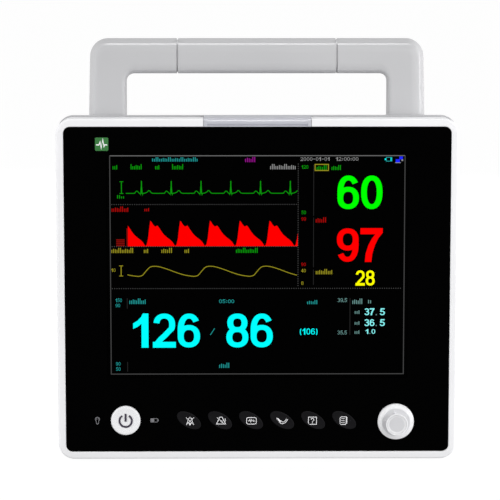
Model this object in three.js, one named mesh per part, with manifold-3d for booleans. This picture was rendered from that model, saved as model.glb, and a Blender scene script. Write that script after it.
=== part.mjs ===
// Bedside patient monitor, built as an assembly of named pieces. Millimetres, +Z up, screen facing -Y.
// Each piece is modelled in the casing's frame: x from the middle, y back from the front face, z up from
// the casing's underside. The exported group then stands the feet on z = 0, with the origin under the
// middle of the whole object's box.
import * as THREE from "three";
import { mergeVertices } from "three/addons/utils/BufferGeometryUtils.js";
import Module from "manifold-3d";

const wasm = await Module();
wasm.setup();

// ---------------------------------------------------------------- driving dimensions

const GAP = 0.3; // between two pieces that touch on the real object
const CASE = { width: 336, height: 288.3, radius: 13.5, wall: 2.8 };
const BEZEL_DEPTH = 8;
const BODY_DEPTH = 145;
const FOOT = { radius: 9, height: 3 };

// The rear casing's top rises from the bezel to a crest and falls again under the handle. Behind that the
// casing steps in to a narrower hump.
const CREST = { y: 22, z: 290 };
const SHOULDER = { y: 70, top: 286.6, slope: 3.5 };
const HUMP_HALF = 156.6;
const REAR_BOTTOM = 0.4;
const REAR_STATIONS = [
  { y: BEZEL_DEPTH + GAP, half: 167.7, bottom: REAR_BOTTOM, top: CASE.height - GAP, radius: 13.2 },
  { y: CREST.y, half: 168, bottom: REAR_BOTTOM, top: CREST.z, radius: 13.5 },
  { y: SHOULDER.y, half: 166.4, bottom: REAR_BOTTOM, top: SHOULDER.top, radius: 13.5 },
  { y: SHOULDER.y + SHOULDER.slope, half: HUMP_HALF, bottom: REAR_BOTTOM, top: 276, radius: 15 },
  { y: 136, half: HUMP_HALF, bottom: REAR_BOTTOM, top: 271, radius: 17 },
  { y: 142.5, half: 152.5, bottom: REAR_BOTTOM + 3.5, top: 267, radius: 18 },
  { y: BODY_DEPTH, half: 147, bottom: REAR_BOTTOM + 8, top: 261, radius: 18 },
];

const PANEL = { width: 322.4, bottom: 7.1, top: 281.2, radius: 5.3, front: 0.2, back: 3.2 };
const SCREEN = { width: 246, height: 184.5, z: 165.2 }; // 12.1 inch, 4 to 3
const LAMP = { width: 89.6, bottom: 281.5, back: 21 };

const CONTROL_Z = 33.7;
const KEY = { long: 11.3, short: 6.1, tilt: -30.7, proud: 0.8, travel: 0.8, firstX: -57.7, pitch: 26.2 };
const KEY_NAMES = [
  "alarm_silence_key",
  "alarm_pause_key",
  "freeze_key",
  "nibp_start_key",
  "help_key",
  "record_key",
];
const POWER = { x: -111, radius: 12.4, proud: 1.6 };
const KNOB = { x: 116.7, z: 32.9, baseRadius: 15.3, topRadius: 9, proud: 17, flutes: 5, firstRidge: 0.5 };
const SHAFT_RADIUS = 3;

const HANDLE = {
  outerX: 141.4,
  draft: 1.2,
  innerX: 110.9,
  seamX: 67.8,
  barTop: 353.6,
  barBottom: 324.4,
  front: 30,
  back: 64,
  outerRadius: 19,
  innerRadius: 7.5,
};
const HANDLE_MID_Y = (HANDLE.front + HANDLE.back) / 2;
const HANDLE_FOOT_Z = 288;
const ROD = { radius: 6, halfLength: 92, z: 338 };

const PORTS = { y: 104, face: 0.2 - HUMP_HALF, thickness: 3 };
const PORT_BAY = { left: -128, right: 28, bottom: 22, top: 66, plate: 133.2 };
const INLET = { x: -95, z: 44, width: 50, height: 28 };
const DOOR = { front: 78.4, back: 133.6, bottom: 41, top: 127, inner: HUMP_HALF - 2.5, outer: HUMP_HALF };
const HINGE = { x: HUMP_HALF - 0.2, y: 135.6, barrel: 2, pin: 0.9 };
const SCREW_X = 160.5;
const SCREW_Z = [42, 248];
const HANDLE_SCREW_X = 126.4;

// ---------------------------------------------------------------- shape helpers

// A closed geometry as a manifold-3d solid, and back.
function solidOf(geometry) {
  const bare = geometry.index ? geometry.toNonIndexed() : geometry.clone();
  bare.deleteAttribute("normal");
  bare.deleteAttribute("uv");
  const merged = mergeVertices(bare, 1e-4);
  const mesh = new wasm.Mesh({
    numProp: 3,
    vertProperties: new Float32Array(merged.attributes.position.array),
    triVerts: new Uint32Array(merged.index.array),
  });
  return new wasm.Manifold(mesh);
}

function geometryOf(solid) {
  const mesh = solid.getMesh();
  const geometry = new THREE.BufferGeometry();
  geometry.setAttribute("position", new THREE.BufferAttribute(mesh.vertProperties, 3));
  geometry.setIndex(new THREE.BufferAttribute(mesh.triVerts, 1));
  geometry.computeVertexNormals();
  return geometry;
}

function cut(base, ...tools) {
  return geometryOf(tools.reduce((solid, tool) => solid.subtract(solidOf(tool)), solidOf(base)));
}

function join(base, ...more) {
  return geometryOf(more.reduce((solid, other) => solid.add(solidOf(other)), solidOf(base)));
}

function box(x0, x1, y0, y1, z0, z1) {
  const geometry = new THREE.BoxGeometry(x1 - x0, y1 - y0, z1 - z0);
  return geometry.translate((x0 + x1) / 2, (y0 + y1) / 2, (z0 + z1) / 2);
}

// A rounded rectangle in the x-z plane, counter-clockwise seen from the front, as [x, z] points.
function roundedOutline(x0, x1, z0, z1, radius, steps = 4) {
  const corners = [
    [x1 - radius, z0 + radius, -90],
    [x1 - radius, z1 - radius, 0],
    [x0 + radius, z1 - radius, 90],
    [x0 + radius, z0 + radius, 180],
  ];
  const points = [];
  for (const [cx, cz, start] of corners) {
    for (let i = 0; i <= steps; i++) {
      const angle = THREE.MathUtils.degToRad(start + (90 * i) / steps);
      points.push([cx + radius * Math.cos(angle), cz + radius * Math.sin(angle)]);
    }
  }
  return points;
}

function ellipseOutline(x, z, long, short, tilt, steps = 22) {
  const turn = THREE.MathUtils.degToRad(tilt);
  return Array.from({ length: steps }, (_, i) => {
    const angle = (2 * Math.PI * i) / steps;
    const [u, v] = [long * Math.cos(angle), short * Math.sin(angle)];
    return [x + u * Math.cos(turn) - v * Math.sin(turn), z + u * Math.sin(turn) + v * Math.cos(turn)];
  });
}

// A solid through rings of equal point counts, each {y, points}, running from front to back.
function loft(rings) {
  const count = rings[0].points.length;
  const position = [];
  for (const ring of rings) {
    for (const [x, z] of ring.points) position.push(x, ring.y, z);
  }
  const index = [];
  for (let r = 0; r < rings.length - 1; r++) {
    for (let i = 0; i < count; i++) {
      const [a, b] = [r * count + i, r * count + ((i + 1) % count)];
      index.push(a, a + count, b + count, a, b + count, b);
    }
  }
  const flat = (ring) => ring.points.map(([x, z]) => new THREE.Vector2(x, z));
  const last = (rings.length - 1) * count;
  for (const [a, b, c] of THREE.ShapeUtils.triangulateShape(flat(rings[0]), [])) index.push(a, b, c);
  for (const [a, b, c] of THREE.ShapeUtils.triangulateShape(flat(rings.at(-1)), [])) {
    index.push(last + a, last + c, last + b);
  }
  const geometry = new THREE.BufferGeometry();
  geometry.setAttribute("position", new THREE.Float32BufferAttribute(position, 3));
  geometry.setIndex(index);
  return geometry;
}

function slab(points, y0, y1) {
  return loft([
    { y: y0, points },
    { y: y1, points },
  ]);
}

// A turned solid. Its profile is [radius, distance along the axis] with the distance increasing on the
// outside, and the axis starts at the given point and runs along "x", "y" or "z".
function turned(profile, axis, [x, y, z], segments = 24) {
  const points = profile.map(([radius, along]) => new THREE.Vector2(radius, along));
  const geometry = new THREE.LatheGeometry(points, segments);
  if (axis === "x") geometry.rotateZ(-Math.PI / 2);
  if (axis === "z") geometry.rotateX(Math.PI / 2);
  return geometry.translate(x, y, z);
}

function rod(radius, from, to, axis, [x, y, z], segments = 24) {
  const profile = [
    [0, from],
    [radius, from],
    [radius, to],
    [0, to],
  ];
  return turned(profile, axis, [x, y, z], segments);
}

function sleeve(outer, inner, from, to, axis, place, segments = 24) {
  const profile = [
    [inner, from],
    [outer, from],
    [outer, to],
    [inner, to],
    [inner, from],
  ];
  return turned(profile, axis, place, segments);
}

// ---------------------------------------------------------------- materials

const finish = (color, roughness, metalness = 0) =>
  new THREE.MeshStandardMaterial({ color, roughness, metalness });
const WHITE_ABS = finish(0xe9e9ea, 0.45);
const GREY_ABS = finish(0xc3c3c5, 0.5);
const GLOSS_BLACK = finish(0x050506, 0.12);
const CLEAR = finish(0x0a0a0c, 0.05);
const LAMP_PLASTIC = finish(0xc6c6cf, 0.3);
const KEY_RUBBER = finish(0x1f1f21, 0.6);
const DARK_PLASTIC = finish(0x1b1b1d, 0.5);
const STEEL = finish(0xb4b6b8, 0.35, 1);
const PCB_GREEN = finish(0x1d5b34, 0.5);
const SOFT_GREY = finish(0x4a4a4d, 0.85);
const BLUE_PLASTIC = finish(0x2b5ea8, 0.45);
const CABLE_CLEAR = finish(0xd8d8d2, 0.4);
const BATTERY_WRAP = finish(0x2c3d55, 0.5);

const body = new THREE.Group();
body.position.set(0, -(BODY_DEPTH - KNOB.proud) / 2, FOOT.height);

function add(name, geometry, material) {
  const mesh = new THREE.Mesh(geometry, material);
  mesh.name = name;
  body.add(mesh);
}

// ---------------------------------------------------------------- front housing

function caseOutline(inset) {
  const half = CASE.width / 2 - inset;
  return roundedOutline(-half, half, inset, CASE.height - inset, CASE.radius - inset);
}

function panelOutline(grow) {
  const half = PANEL.width / 2 + grow;
  return roundedOutline(-half, half, PANEL.bottom - grow, PANEL.top + grow, PANEL.radius + grow);
}

// What the alarm lamp's hood takes out of the bezel and the casing behind it.
function lampNotch() {
  const half = LAMP.width / 2 + GAP;
  return box(-half, half, -1, LAMP.back + GAP, PANEL.top, CREST.z + 1);
}

function frontBezel() {
  // The frame slopes back from its lip round the panel, then rounds over into the sides.
  const profile = [
    [0, 5.4],
    [1.4, 1.6],
    [2.6, 0.6],
    [5, 0],
    [BEZEL_DEPTH, 0],
  ];
  const outside = loft(profile.map(([y, inset]) => ({ y, points: caseOutline(inset) })));
  const ledgeBack = 5.5;
  const shell = cut(
    outside,
    slab(caseOutline(CASE.wall), ledgeBack, BEZEL_DEPTH + 1),
    slab(panelOutline(GAP), -1, PANEL.back + 0.2),
    slab(roundedOutline(-156.5, 156.5, 12, 276.5, 3), PANEL.back, ledgeBack + 1),
    lampNotch(),
  );
  // Long bosses behind the ledge take the screws that come through from the rear casing.
  const places = [-SCREW_X, SCREW_X].flatMap((x) => SCREW_Z.map((z) => [x, 0, z]));
  const bosses = places.map((place) => rod(4, ledgeBack - 0.5, 24, "y", place, 14));
  const holes = places.map((place) => rod(2.1, 8, 25, "y", place, 12));
  return cut(join(shell, ...bosses), ...holes);
}

function screenOutline(extra, radius = 1) {
  const [halfW, halfH] = [(SCREEN.width + extra) / 2, (SCREEN.height + extra) / 2];
  return roundedOutline(-halfW, halfW, SCREEN.z - halfH, SCREEN.z + halfH, radius, 2);
}

function keyX(i) {
  return KEY.firstX + KEY.pitch * i;
}

function frontPanel() {
  const keyHoles = KEY_NAMES.map((_, i) =>
    slab(
      ellipseOutline(keyX(i), CONTROL_Z, KEY.long + 0.35, KEY.short + 0.35, KEY.tilt),
      PANEL.front - 1,
      PANEL.back + 1,
    ),
  );
  return cut(
    slab(panelOutline(0), PANEL.front, PANEL.back),
    slab(screenOutline(6), PANEL.front - 1, 2),
    slab(screenOutline(1), 1, PANEL.back + 1),
    rod(POWER.radius + 0.35, -1, 4, "y", [POWER.x, 0, CONTROL_Z], 32),
    rod(5.2, -1, 4, "y", [KNOB.x, 0, KNOB.z], 20),
    ...keyHoles,
  );
}

function lcdModule() {
  // A metal-cased panel with its driver board along the back's lower edge.
  const tray = slab(roundedOutline(-139.5, 139.5, SCREEN.z - 104.5, SCREEN.z + 104.5, 1.5, 2), 3.6, 11);
  return join(
    tray,
    box(-120, 120, 10.5, 12.4, SCREEN.z - 98, SCREEN.z - 70),
    box(-20, 20, 10.5, 12.4, SCREEN.z + 60, SCREEN.z + 92),
  );
}

function lcdBracket() {
  const plate = box(-150, 150, 13, 14.2, SCREEN.z - 112, SCREEN.z + 112);
  const flanges = [-1, 1].map((side) => {
    const edge = SCREEN.z + side * 112;
    return box(-150, 150, 13, 20, Math.min(edge, edge - side * 1.2), Math.max(edge, edge - side * 1.2));
  });
  const windows = [-1, 1].map((side) => {
    const middle = side * 70;
    return slab(roundedOutline(middle - 50, middle + 50, SCREEN.z - 80, SCREEN.z + 80, 8, 3), 12, 15);
  });
  return cut(join(plate, ...flanges), ...windows);
}

function alarmLens() {
  // A thin hood that follows the bezel's slope, carries on over the top to the crest, and is open below.
  const section = [
    [0.4, LAMP.bottom],
    [0.5, 284.2],
    [1.6, 286.8],
    [2.8, 287.7],
    [5, CASE.height - 0.2],
    [BEZEL_DEPTH, CASE.height],
    [LAMP.back, CREST.z - 0.2],
    [LAMP.back, CREST.z - 2.4],
    [BEZEL_DEPTH, CASE.height - 2.2],
    [4.8, 285.8],
    [3.2, 283.6],
    [2.8, LAMP.bottom],
  ];
  const outline = section.map(([y, z]) => new THREE.Vector2(y, z)).reverse();
  const hood = new THREE.ExtrudeGeometry(new THREE.Shape(outline), { depth: LAMP.width, bevelEnabled: false });
  // The shape's own axes are y and z, and its depth becomes x.
  hood.applyMatrix4(new THREE.Matrix4().set(0, 0, 1, -LAMP.width / 2, 1, 0, 0, 0, 0, 1, 0, 0, 0, 0, 0, 1));
  return hood;
}

function alarmLedBoard() {
  const board = box(-42, 42, 6.6, 8.2, 275, 284);
  const lamps = [-30, -10, 10, 30].map((x) => box(x - 2.5, x + 2.5, 5.7, 6.8, 278.5, 283));
  return join(board, ...lamps);
}

// ---------------------------------------------------------------- controls

function powerButton() {
  // A dished cap, a flange that keeps it behind the panel, and a stem that works its switch.
  const profile = [
    [0, -POWER.proud + 0.9],
    [6, -POWER.proud + 0.65],
    [10.8, -POWER.proud],
    [POWER.radius, -POWER.proud + 0.9],
    [POWER.radius, 3.7],
    [13.8, 3.7],
    [13.8, 4.9],
    [2.5, 4.9],
    [2.5, 6.2],
    [0, 6.2],
  ];
  return turned(profile, "y", [POWER.x, 0, CONTROL_Z], 32);
}

function softKey(x) {
  const ring = (y, shrink) => ({
    y,
    points: ellipseOutline(x, CONTROL_Z, KEY.long - shrink, KEY.short - shrink, KEY.tilt),
  });
  const cap = loft([ring(-KEY.proud, 0.9), ring(-KEY.proud + 0.5, 0), ring(3.8, 0)]);
  const flange = loft([ring(3.6, -1.2), ring(4.8, -1.2)]);
  return join(cap, flange);
}

function keypadMat() {
  const sheet = slab(roundedOutline(-74, 90, 20.5, 47, 3, 3), 7, 8);
  const domes = KEY_NAMES.map((_, i) => {
    const profile = [
      [0, 5.9],
      [3, 5.9],
      [5.5, 7.4],
      [0, 7.4],
    ];
    return turned(profile, "y", [keyX(i), 0, CONTROL_Z], 10);
  });
  return join(sheet, ...domes);
}

function keyBoard() {
  const board = box(-146, 146, 8.3, 9.9, 13, 55);
  const powerSwitch = box(POWER.x - 3, POWER.x + 3, 7.4, 8.5, CONTROL_Z - 3, CONTROL_Z + 3);
  const plug = box(-20, 20, 9.7, 15, 46, 52);
  return cut(join(board, powerSwitch, plug), rod(4.8, 7, 11, "y", [KNOB.x, 0, KNOB.z], 24));
}

function encoderBody() {
  const place = [KNOB.x, 0, KNOB.z];
  const block = box(KNOB.x - 6.5, KNOB.x + 6.5, 10.2, 17.6, KNOB.z - 6.5, KNOB.z + 6.5);
  const bushing = rod(4.4, 1.2, 10.6, "y", place, 24);
  return cut(join(block, bushing), rod(SHAFT_RADIUS + 0.4, 0, 16.8, "y", place, 24));
}

function encoderPlunger() {
  return rod(SHAFT_RADIUS - 0.3, 14.9, 16, "y", [KNOB.x, 0, KNOB.z], 20);
}

function encoderShaft() {
  return rod(SHAFT_RADIUS, -12.5, 14.6, "y", [KNOB.x, 0, KNOB.z], 20);
}

function controlKnob() {
  // A skirt with a rounded rim, and a fluted waist that narrows to a dished finger rest.
  const steps = KNOB.flutes * 8;
  const ring = (y, radius, flute) => ({
    y,
    points: Array.from({ length: steps }, (_, i) => {
      const angle = (2 * Math.PI * i) / steps;
      const scallop = Math.abs(Math.sin((KNOB.flutes * (angle - KNOB.firstRidge)) / 2));
      const r = radius - flute * scallop;
      return [KNOB.x + r * Math.cos(angle), KNOB.z + r * Math.sin(angle)];
    }),
  });
  const knob = loft([
    ring(-KNOB.proud, KNOB.topRadius - 1, 0),
    ring(-KNOB.proud + 0.8, KNOB.topRadius, 0),
    ring(-KNOB.proud + 3, KNOB.topRadius + 0.6, 1.1),
    ring(-9, 11.4, 2.2),
    ring(-5.4, 13, 0.9),
    ring(-4, KNOB.baseRadius - 0.7, 0),
    ring(-3, KNOB.baseRadius, 0),
    ring(-1.2, KNOB.baseRadius, 0),
  ]);
  const dish = turned(
    [
      [0, -KNOB.proud + 1.6],
      [4.2, -KNOB.proud + 1.1],
      [7.4, -KNOB.proud - 0.2],
      [0, -KNOB.proud - 0.2],
    ].reverse(),
    "y",
    [KNOB.x, 0, KNOB.z],
    24,
  );
  const bore = rod(SHAFT_RADIUS + GAP, -12.9, 0, "y", [KNOB.x, 0, KNOB.z], 20);
  const recess = sleeve(13, 6, -3.6, 0, "y", [KNOB.x, 0, KNOB.z], 24);
  return cut(knob, dish, bore, recess);
}

// ---------------------------------------------------------------- rear housing

// One ring of the rear casing, drawn in by a wall's thickness and moved along for the hollow.
function rearRing({ y, half, bottom, top, radius }, inset = 0, shift = 0) {
  const points = roundedOutline(-half + inset, half - inset, bottom + inset, top - inset, radius - inset);
  return { y: y + shift, points };
}

// Height of the casing's top at a distance behind the crest, where the handle stands.
function casingTop(y) {
  return CREST.z - ((CREST.z - SHOULDER.top) * (y - CREST.y)) / (SHOULDER.y - CREST.y);
}

function ventSlots() {
  const slots = [];
  for (let i = 0; i < 12; i++) slots.push(box(-112 + i * 9, -108.6 + i * 9, 140, 150, 206, 242));
  for (let i = 0; i < 6; i++) slots.push(box(62, 118, 140, 150, 208 + i * 7, 210.6 + i * 7));
  for (let i = 0; i < 8; i++) slots.push(box(150, 162, 82, 126, 168 + i * 8, 171 + i * 8));
  return slots;
}

function rearCasing() {
  const outside = loft(REAR_STATIONS.map((station) => rearRing(station)));
  const hollow = REAR_STATIONS.slice(0, -1).map((station, i) => rearRing(station, CASE.wall, i ? 0 : -1));
  // One wall's thickness stays behind the shoulder and in front of the back.
  for (const ring of hollow.slice(2, 4)) ring.y -= CASE.wall;
  hollow.at(-1).y = BODY_DEPTH - CASE.wall;
  const shell = cut(outside, loft(hollow));

  // A frame round the sunk port bay, bosses for the bracket pad, and the battery door's hinge lugs.
  const { left, right, bottom, top, plate } = PORT_BAY;
  const bayFrame = box(left - 2.5, right + 2.5, plate - 2.5, 143, bottom - 2.5, top + 2.5);
  const pad = box(-62, 62, 74, 132, REAR_BOTTOM - 1.4, REAR_BOTTOM + 1);
  const padPlaces = [-50, 50].flatMap((x) => [86, 120].map((y) => [x, y, REAR_BOTTOM]));
  const padBosses = padPlaces.map((place) => rod(5, 1, 8, "z", place, 14));
  const lugs = [
    [34.6, 40.3],
    [127.7, 133.4],
  ].map(([from, to]) => rod(2.4, from, to, "z", [HINGE.x, HINGE.y, 0], 16));
  const handlePlaces = [-1, 1].map((side) => [side * HANDLE_SCREW_X, HANDLE_MID_Y, HANDLE_FOOT_Z]);
  const handleBosses = handlePlaces.map((place) => rod(7, -10.6, -1.4, "z", place, 16));
  const whole = join(shell, bayFrame, pad, ...padBosses, ...lugs, ...handleBosses);

  const padHoles = padPlaces.map((place) => rod(2, -2, 6, "z", place, 10));
  const handleHoles = handlePlaces.map((place) => rod(2.9, -12, 2, "z", place, 12));
  const screwHoles = [-SCREW_X, SCREW_X].flatMap((x) =>
    SCREW_Z.flatMap((z) => [
      rod(2.1, 20, SHOULDER.y + 4, "y", [x, 0, z], 12),
      rod(3.6, SHOULDER.y - 0.8, SHOULDER.y + 4, "y", [x, 0, z], 14),
    ]),
  );
  return cut(
    whole,
    box(left, right, plate, BODY_DEPTH + 1, bottom, top),
    box(left + 2, right - 2, plate - 5, plate + 1, bottom + 2, top - 2),
    box(-170, -145, PORTS.y - 30.3, PORTS.y + 30.3, 55.7, 236.3),
    box(150, 165, DOOR.front - 0.4, DOOR.back + 0.4, DOOR.bottom - 0.4, DOOR.top + 0.4),
    rod(2.7, DOOR.bottom - 0.4, DOOR.top + 0.4, "z", [HINGE.x, HINGE.y, 0], 20),
    rod(1.25, 35.3, 132.7, "z", [HINGE.x, HINGE.y, 0], 10),
    ...padHoles,
    ...handleHoles,
    ...screwHoles,
    ...ventSlots(),
    lampNotch(),
  );
}

function casingScrew(x, z) {
  const profile = [
    [0, 12],
    [1.7, 12],
    [1.7, SHOULDER.y - 0.4],
    [3.2, SHOULDER.y - 0.4],
    [3.2, SHOULDER.y + 2],
    [0, SHOULDER.y + 2],
  ];
  return turned(profile, "y", [x, 0, z], 12);
}

function foot(x, y) {
  const profile = [
    [0, -FOOT.height],
    [FOOT.radius, -FOOT.height],
    [FOOT.radius + 1, REAR_BOTTOM - GAP],
    [0, REAR_BOTTOM - GAP],
  ];
  return turned(profile, "z", [x, y, 0], 20);
}

// ---------------------------------------------------------------- carrying handle

// One arm's outline on the x > 0 side: up the outside, round the corner and along the bar to the seam.
// The outer edge may be drawn in on its own, because that side of the section is sloped.
function armOutline(y, outerInset, innerInset) {
  const { outerX, innerX, seamX, barTop, barBottom, outerRadius, innerRadius } = HANDLE;
  const legFoot = casingTop(y) + GAP;
  const [xo, xi] = [outerX - outerInset, innerX + innerInset];
  const [top, under] = [barTop - outerInset, barBottom + innerInset];
  const arc = (cx, cz, radius, from, to, steps) =>
    Array.from({ length: steps + 1 }, (_, i) => {
      const angle = THREE.MathUtils.degToRad(from + ((to - from) * i) / steps);
      return [cx + radius * Math.cos(angle), cz + radius * Math.sin(angle)];
    });
  const outer = outerRadius - outerInset;
  const inner = innerRadius + innerInset;
  return [
    [xi, legFoot],
    [xo + HANDLE.draft, legFoot],
    ...arc(xo - outer, top - outer, outer, 0, 90, 7),
    [seamX, top],
    [seamX, under],
    ...arc(xi - inner, under - inner, inner, 90, 0, 5),
  ];
}

// How far the outer and inner sides are drawn in, from the handle's front to its back.
const HANDLE_SECTION = [
  [0, 6.2, 3.4],
  [1.2, 4.9, 1.5],
  [4, 3.7, 0.3],
  [9.5, 1.2, 0],
  [17, 0, 0],
  [24.5, 1.2, 0],
  [30, 3.7, 0.3],
  [32.8, 4.9, 1.5],
  [34, 6.2, 3.4],
];

function handleArm(side) {
  const rings = HANDLE_SECTION.map(([depth, outer, inner]) => ({
    y: HANDLE.front + depth,
    points: armOutline(HANDLE.front + depth, outer, inner),
  }));
  const arm = cut(
    loft(rings),
    rod(ROD.radius + GAP, 60, ROD.halfLength + GAP, "x", [0, HANDLE_MID_Y, ROD.z], 20),
    rod(2.9, -2, 21, "z", [HANDLE_SCREW_X, HANDLE_MID_Y, HANDLE_FOOT_Z], 12),
  );
  return side > 0 ? arm : mirrored(arm);
}

// The same solid on the other side of x = 0, with its faces turned to point out again.
function mirrored(geometry) {
  const copy = geometry.clone().scale(-1, 1, 1);
  const index = copy.index.array;
  for (let i = 0; i < index.length; i += 3) [index[i + 1], index[i + 2]] = [index[i + 2], index[i + 1]];
  return copy;
}

function handleGrip() {
  const half = HANDLE.seamX - 0.6;
  const rings = HANDLE_SECTION.map(([depth, outer, inner]) => ({
    y: HANDLE.front + depth,
    points: [
      [-half, HANDLE.barBottom + inner],
      [half, HANDLE.barBottom + inner],
      [half, HANDLE.barTop - outer],
      [-half, HANDLE.barTop - outer],
    ],
  }));
  return cut(loft(rings), rod(ROD.radius + GAP, -80, 80, "x", [0, HANDLE_MID_Y, ROD.z], 20));
}

function handleCoreRod() {
  return rod(ROD.radius, -ROD.halfLength, ROD.halfLength, "x", [0, HANDLE_MID_Y, ROD.z], 20);
}

function handleScrew(side) {
  const profile = [
    [0, -15],
    [5, -15],
    [5, -11],
    [2.5, -11],
    [2.5, 20],
    [0, 20],
  ];
  return turned(profile, "z", [side * HANDLE_SCREW_X, HANDLE_MID_Y, HANDLE_FOOT_Z], 12);
}

// ---------------------------------------------------------------- patient connectors, left side

const SOCKETS = {
  nibp: { z: 212, hole: 7.4 },
  spo2: { z: 180, hole: 10.4 },
  ecg: { z: 141, hole: 12.4 },
  temp1: { z: 105, hole: 7.4 },
  temp2: { z: 78, hole: 7.4 },
};

function patientPortPanel() {
  const inner = PORTS.face + PORTS.thickness;
  const plate = box(PORTS.face, inner, PORTS.y - 30, PORTS.y + 30, 56, 236);
  const holes = Object.values(SOCKETS).map(({ z, hole }) =>
    rod(hole, PORTS.face - 2, inner + 2, "x", [0, PORTS.y, z]),
  );
  return cut(plate, ...holes);
}

// A round socket let into the port panel: a flange outside, a barrel through it, and a blind mouth.
function socket(z, barrel, flange, mouth, depth) {
  const face = PORTS.face - GAP;
  const profile = [
    [0, face - 2.2 + depth],
    [mouth, face - 2.2 + depth],
    [mouth, face - 2.2],
    [flange - 0.6, face - 2.2],
    [flange, face - 1.6],
    [flange, face],
    [barrel, face],
    [barrel, face + depth],
    [0, face + depth],
  ];
  return turned(profile, "x", [0, PORTS.y, z]);
}

function nibpPort() {
  // A bayonet hose fitting with a grooved nose outside and a hose barb inside.
  const profile = [
    [2.2, -8.3],
    [4.4, -8.3],
    [5, -7.7],
    [5, -5.4],
    [4.2, -4.8],
    [4.2, -3.4],
    [5, -2.8],
    [5, -2.4],
    [9, -2.4],
    [9, -GAP],
    [7, -GAP],
    [7, 6.2],
    [3.2, 6.2],
    [3.2, 12],
    [2.2, 12],
    [2.2, -8.3],
  ];
  return turned(profile, "x", [PORTS.face, PORTS.y, SOCKETS.nibp.z], 20);
}

// ---------------------------------------------------------------- battery, right side

function batteryDoor() {
  const { front, back, bottom, top, inner, outer } = DOOR;
  const plate = box(inner, outer, front, back, bottom, top);
  const barrel = rod(HINGE.barrel, bottom, top, "z", [HINGE.x, HINGE.y, 0], 20);
  const web = box(outer - 1.8, outer - 0.3, back - 0.5, HINGE.y, bottom, top);
  const ribs = [62, 84, 106].map((z) =>
    box(inner - 1.2, inner + 0.3, front + 6, back - 8, z - 0.8, z + 0.8),
  );
  const snap = box(inner - 2.5, inner + 0.3, front + 0.6, front + 3, 78, 90);
  const fingerDip = box(outer - 1.2, outer + 1, front - 1, front + 7, 76, 92);
  const bore = rod(1.2, bottom - 1, top + 1, "z", [HINGE.x, HINGE.y, 0], 12);
  return cut(join(plate, barrel, web, ...ribs, snap), fingerDip, bore);
}

function doorHingePin() {
  return rod(HINGE.pin, 35.6, 132.4, "z", [HINGE.x, HINGE.y, 0], 12);
}

function batteryBay() {
  return cut(box(62, 151, 80, 130, 44, 124), box(63.6, 152, 81.6, 128.4, 45.6, 122.4));
}

function batteryPack() {
  const pack = box(64.5, 147, 82.2, 127.8, 46.2, 121.8);
  const pull = box(146.5, 150.4, 98, 112, 80, 84);
  return join(pack, pull);
}

// ---------------------------------------------------------------- rear ports

function rearPortPlate() {
  const { left, right, bottom, top, plate } = PORT_BAY;
  const back = plate + 1.7;
  return cut(
    box(left + GAP, right - GAP, plate + GAP, back, bottom + GAP, top - GAP),
    box(INLET.x - 23.3, INLET.x + 23.3, plate - 1, back + 1, INLET.z - 12.3, INLET.z + 12.3),
    box(-50.3, -33.7, plate - 1, back + 1, 35.7, 50.3),
    rod(3.6, plate - 1, back + 1, "y", [8, 0, INLET.z], 16),
  );
}

function acInlet() {
  const { x, z, width, height } = INLET;
  const flangeFront = PORT_BAY.plate + 2;
  const mouth = flangeFront + 2.2;
  const flange = box(x - width / 2, x + width / 2, flangeFront, mouth, z - height / 2, z + height / 2);
  const block = box(x - 23, x + 23, 110, flangeFront + 1, z - 12, z + 12);
  const cavity = [
    [-115.5, z - 8.3],
    [-91.5, z - 8.3],
    [-91.5, z + 3.5],
    [-96, z + 8.3],
    [-111, z + 8.3],
    [-115.5, z + 3.5],
  ];
  const hollow = cut(
    join(flange, block),
    slab(cavity, 120, mouth + 1),
    box(-87.6, -73.4, 111.5, mouth + 1, z - 10.4, z + 10.4),
  );
  const pins = [
    [-110.5, z - 2],
    [-103.5, z + 3],
    [-96.5, z - 2],
  ].map(([px, pz]) => box(px - 1, px + 1, 119, 132, pz - 2, pz + 2));
  return join(hollow, ...pins);
}

function fuseDrawer() {
  const { z } = INLET;
  const tray = box(-87.2, -73.8, 112.4, 138, z - 10, z + 10);
  const pull = box(-88.8, -72.4, 137.7, 139.6, z - 11.4, z + 11.4);
  const bores = [-5, 5].map((dz) => rod(3, 112, 134, "y", [-80.5, 0, z + dz], 16));
  return cut(join(tray, pull), ...bores);
}

function mainsFuse(dz) {
  return rod(2.6, 113, 133, "y", [-80.5, 0, INLET.z + dz], 16);
}

function groundPost() {
  const profile = [
    [0, 128],
    [3, 128],
    [3, PORT_BAY.plate + 2],
    [5.5, PORT_BAY.plate + 2],
    [5.5, PORT_BAY.plate + 3.6],
    [3, PORT_BAY.plate + 4.6],
    [3, 142.4],
    [2.2, 143.4],
    [0, 143.4],
  ];
  return turned(profile, "y", [8, 0, INLET.z], 20);
}

function networkPort() {
  return cut(box(-50, -34, 118, 136.4, 36, 50), box(-47.9, -36.1, 123, 138, 38.6, 47.2));
}

// ---------------------------------------------------------------- inside

function chassisPlate() {
  const plate = box(-146, 146, 28, 29.5, 34, 262);
  const flanges = [
    box(-146, 146, 28, 38, 34, 35.5),
    box(-146, 146, 28, 38, 260.5, 262),
  ];
  const standoffs = [-62, 122].flatMap((x) => [136, 256].map((z) => rod(2.5, 29, 35.6, "y", [x, 0, z], 10)));
  const openings = [
    slab(roundedOutline(-130, -80, 60, 230, 6, 3), 27, 31),
    slab(roundedOutline(-50, 120, 60, 116, 6, 3), 27, 31),
  ];
  return cut(join(plate, ...flanges, ...standoffs), ...openings);
}

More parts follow.
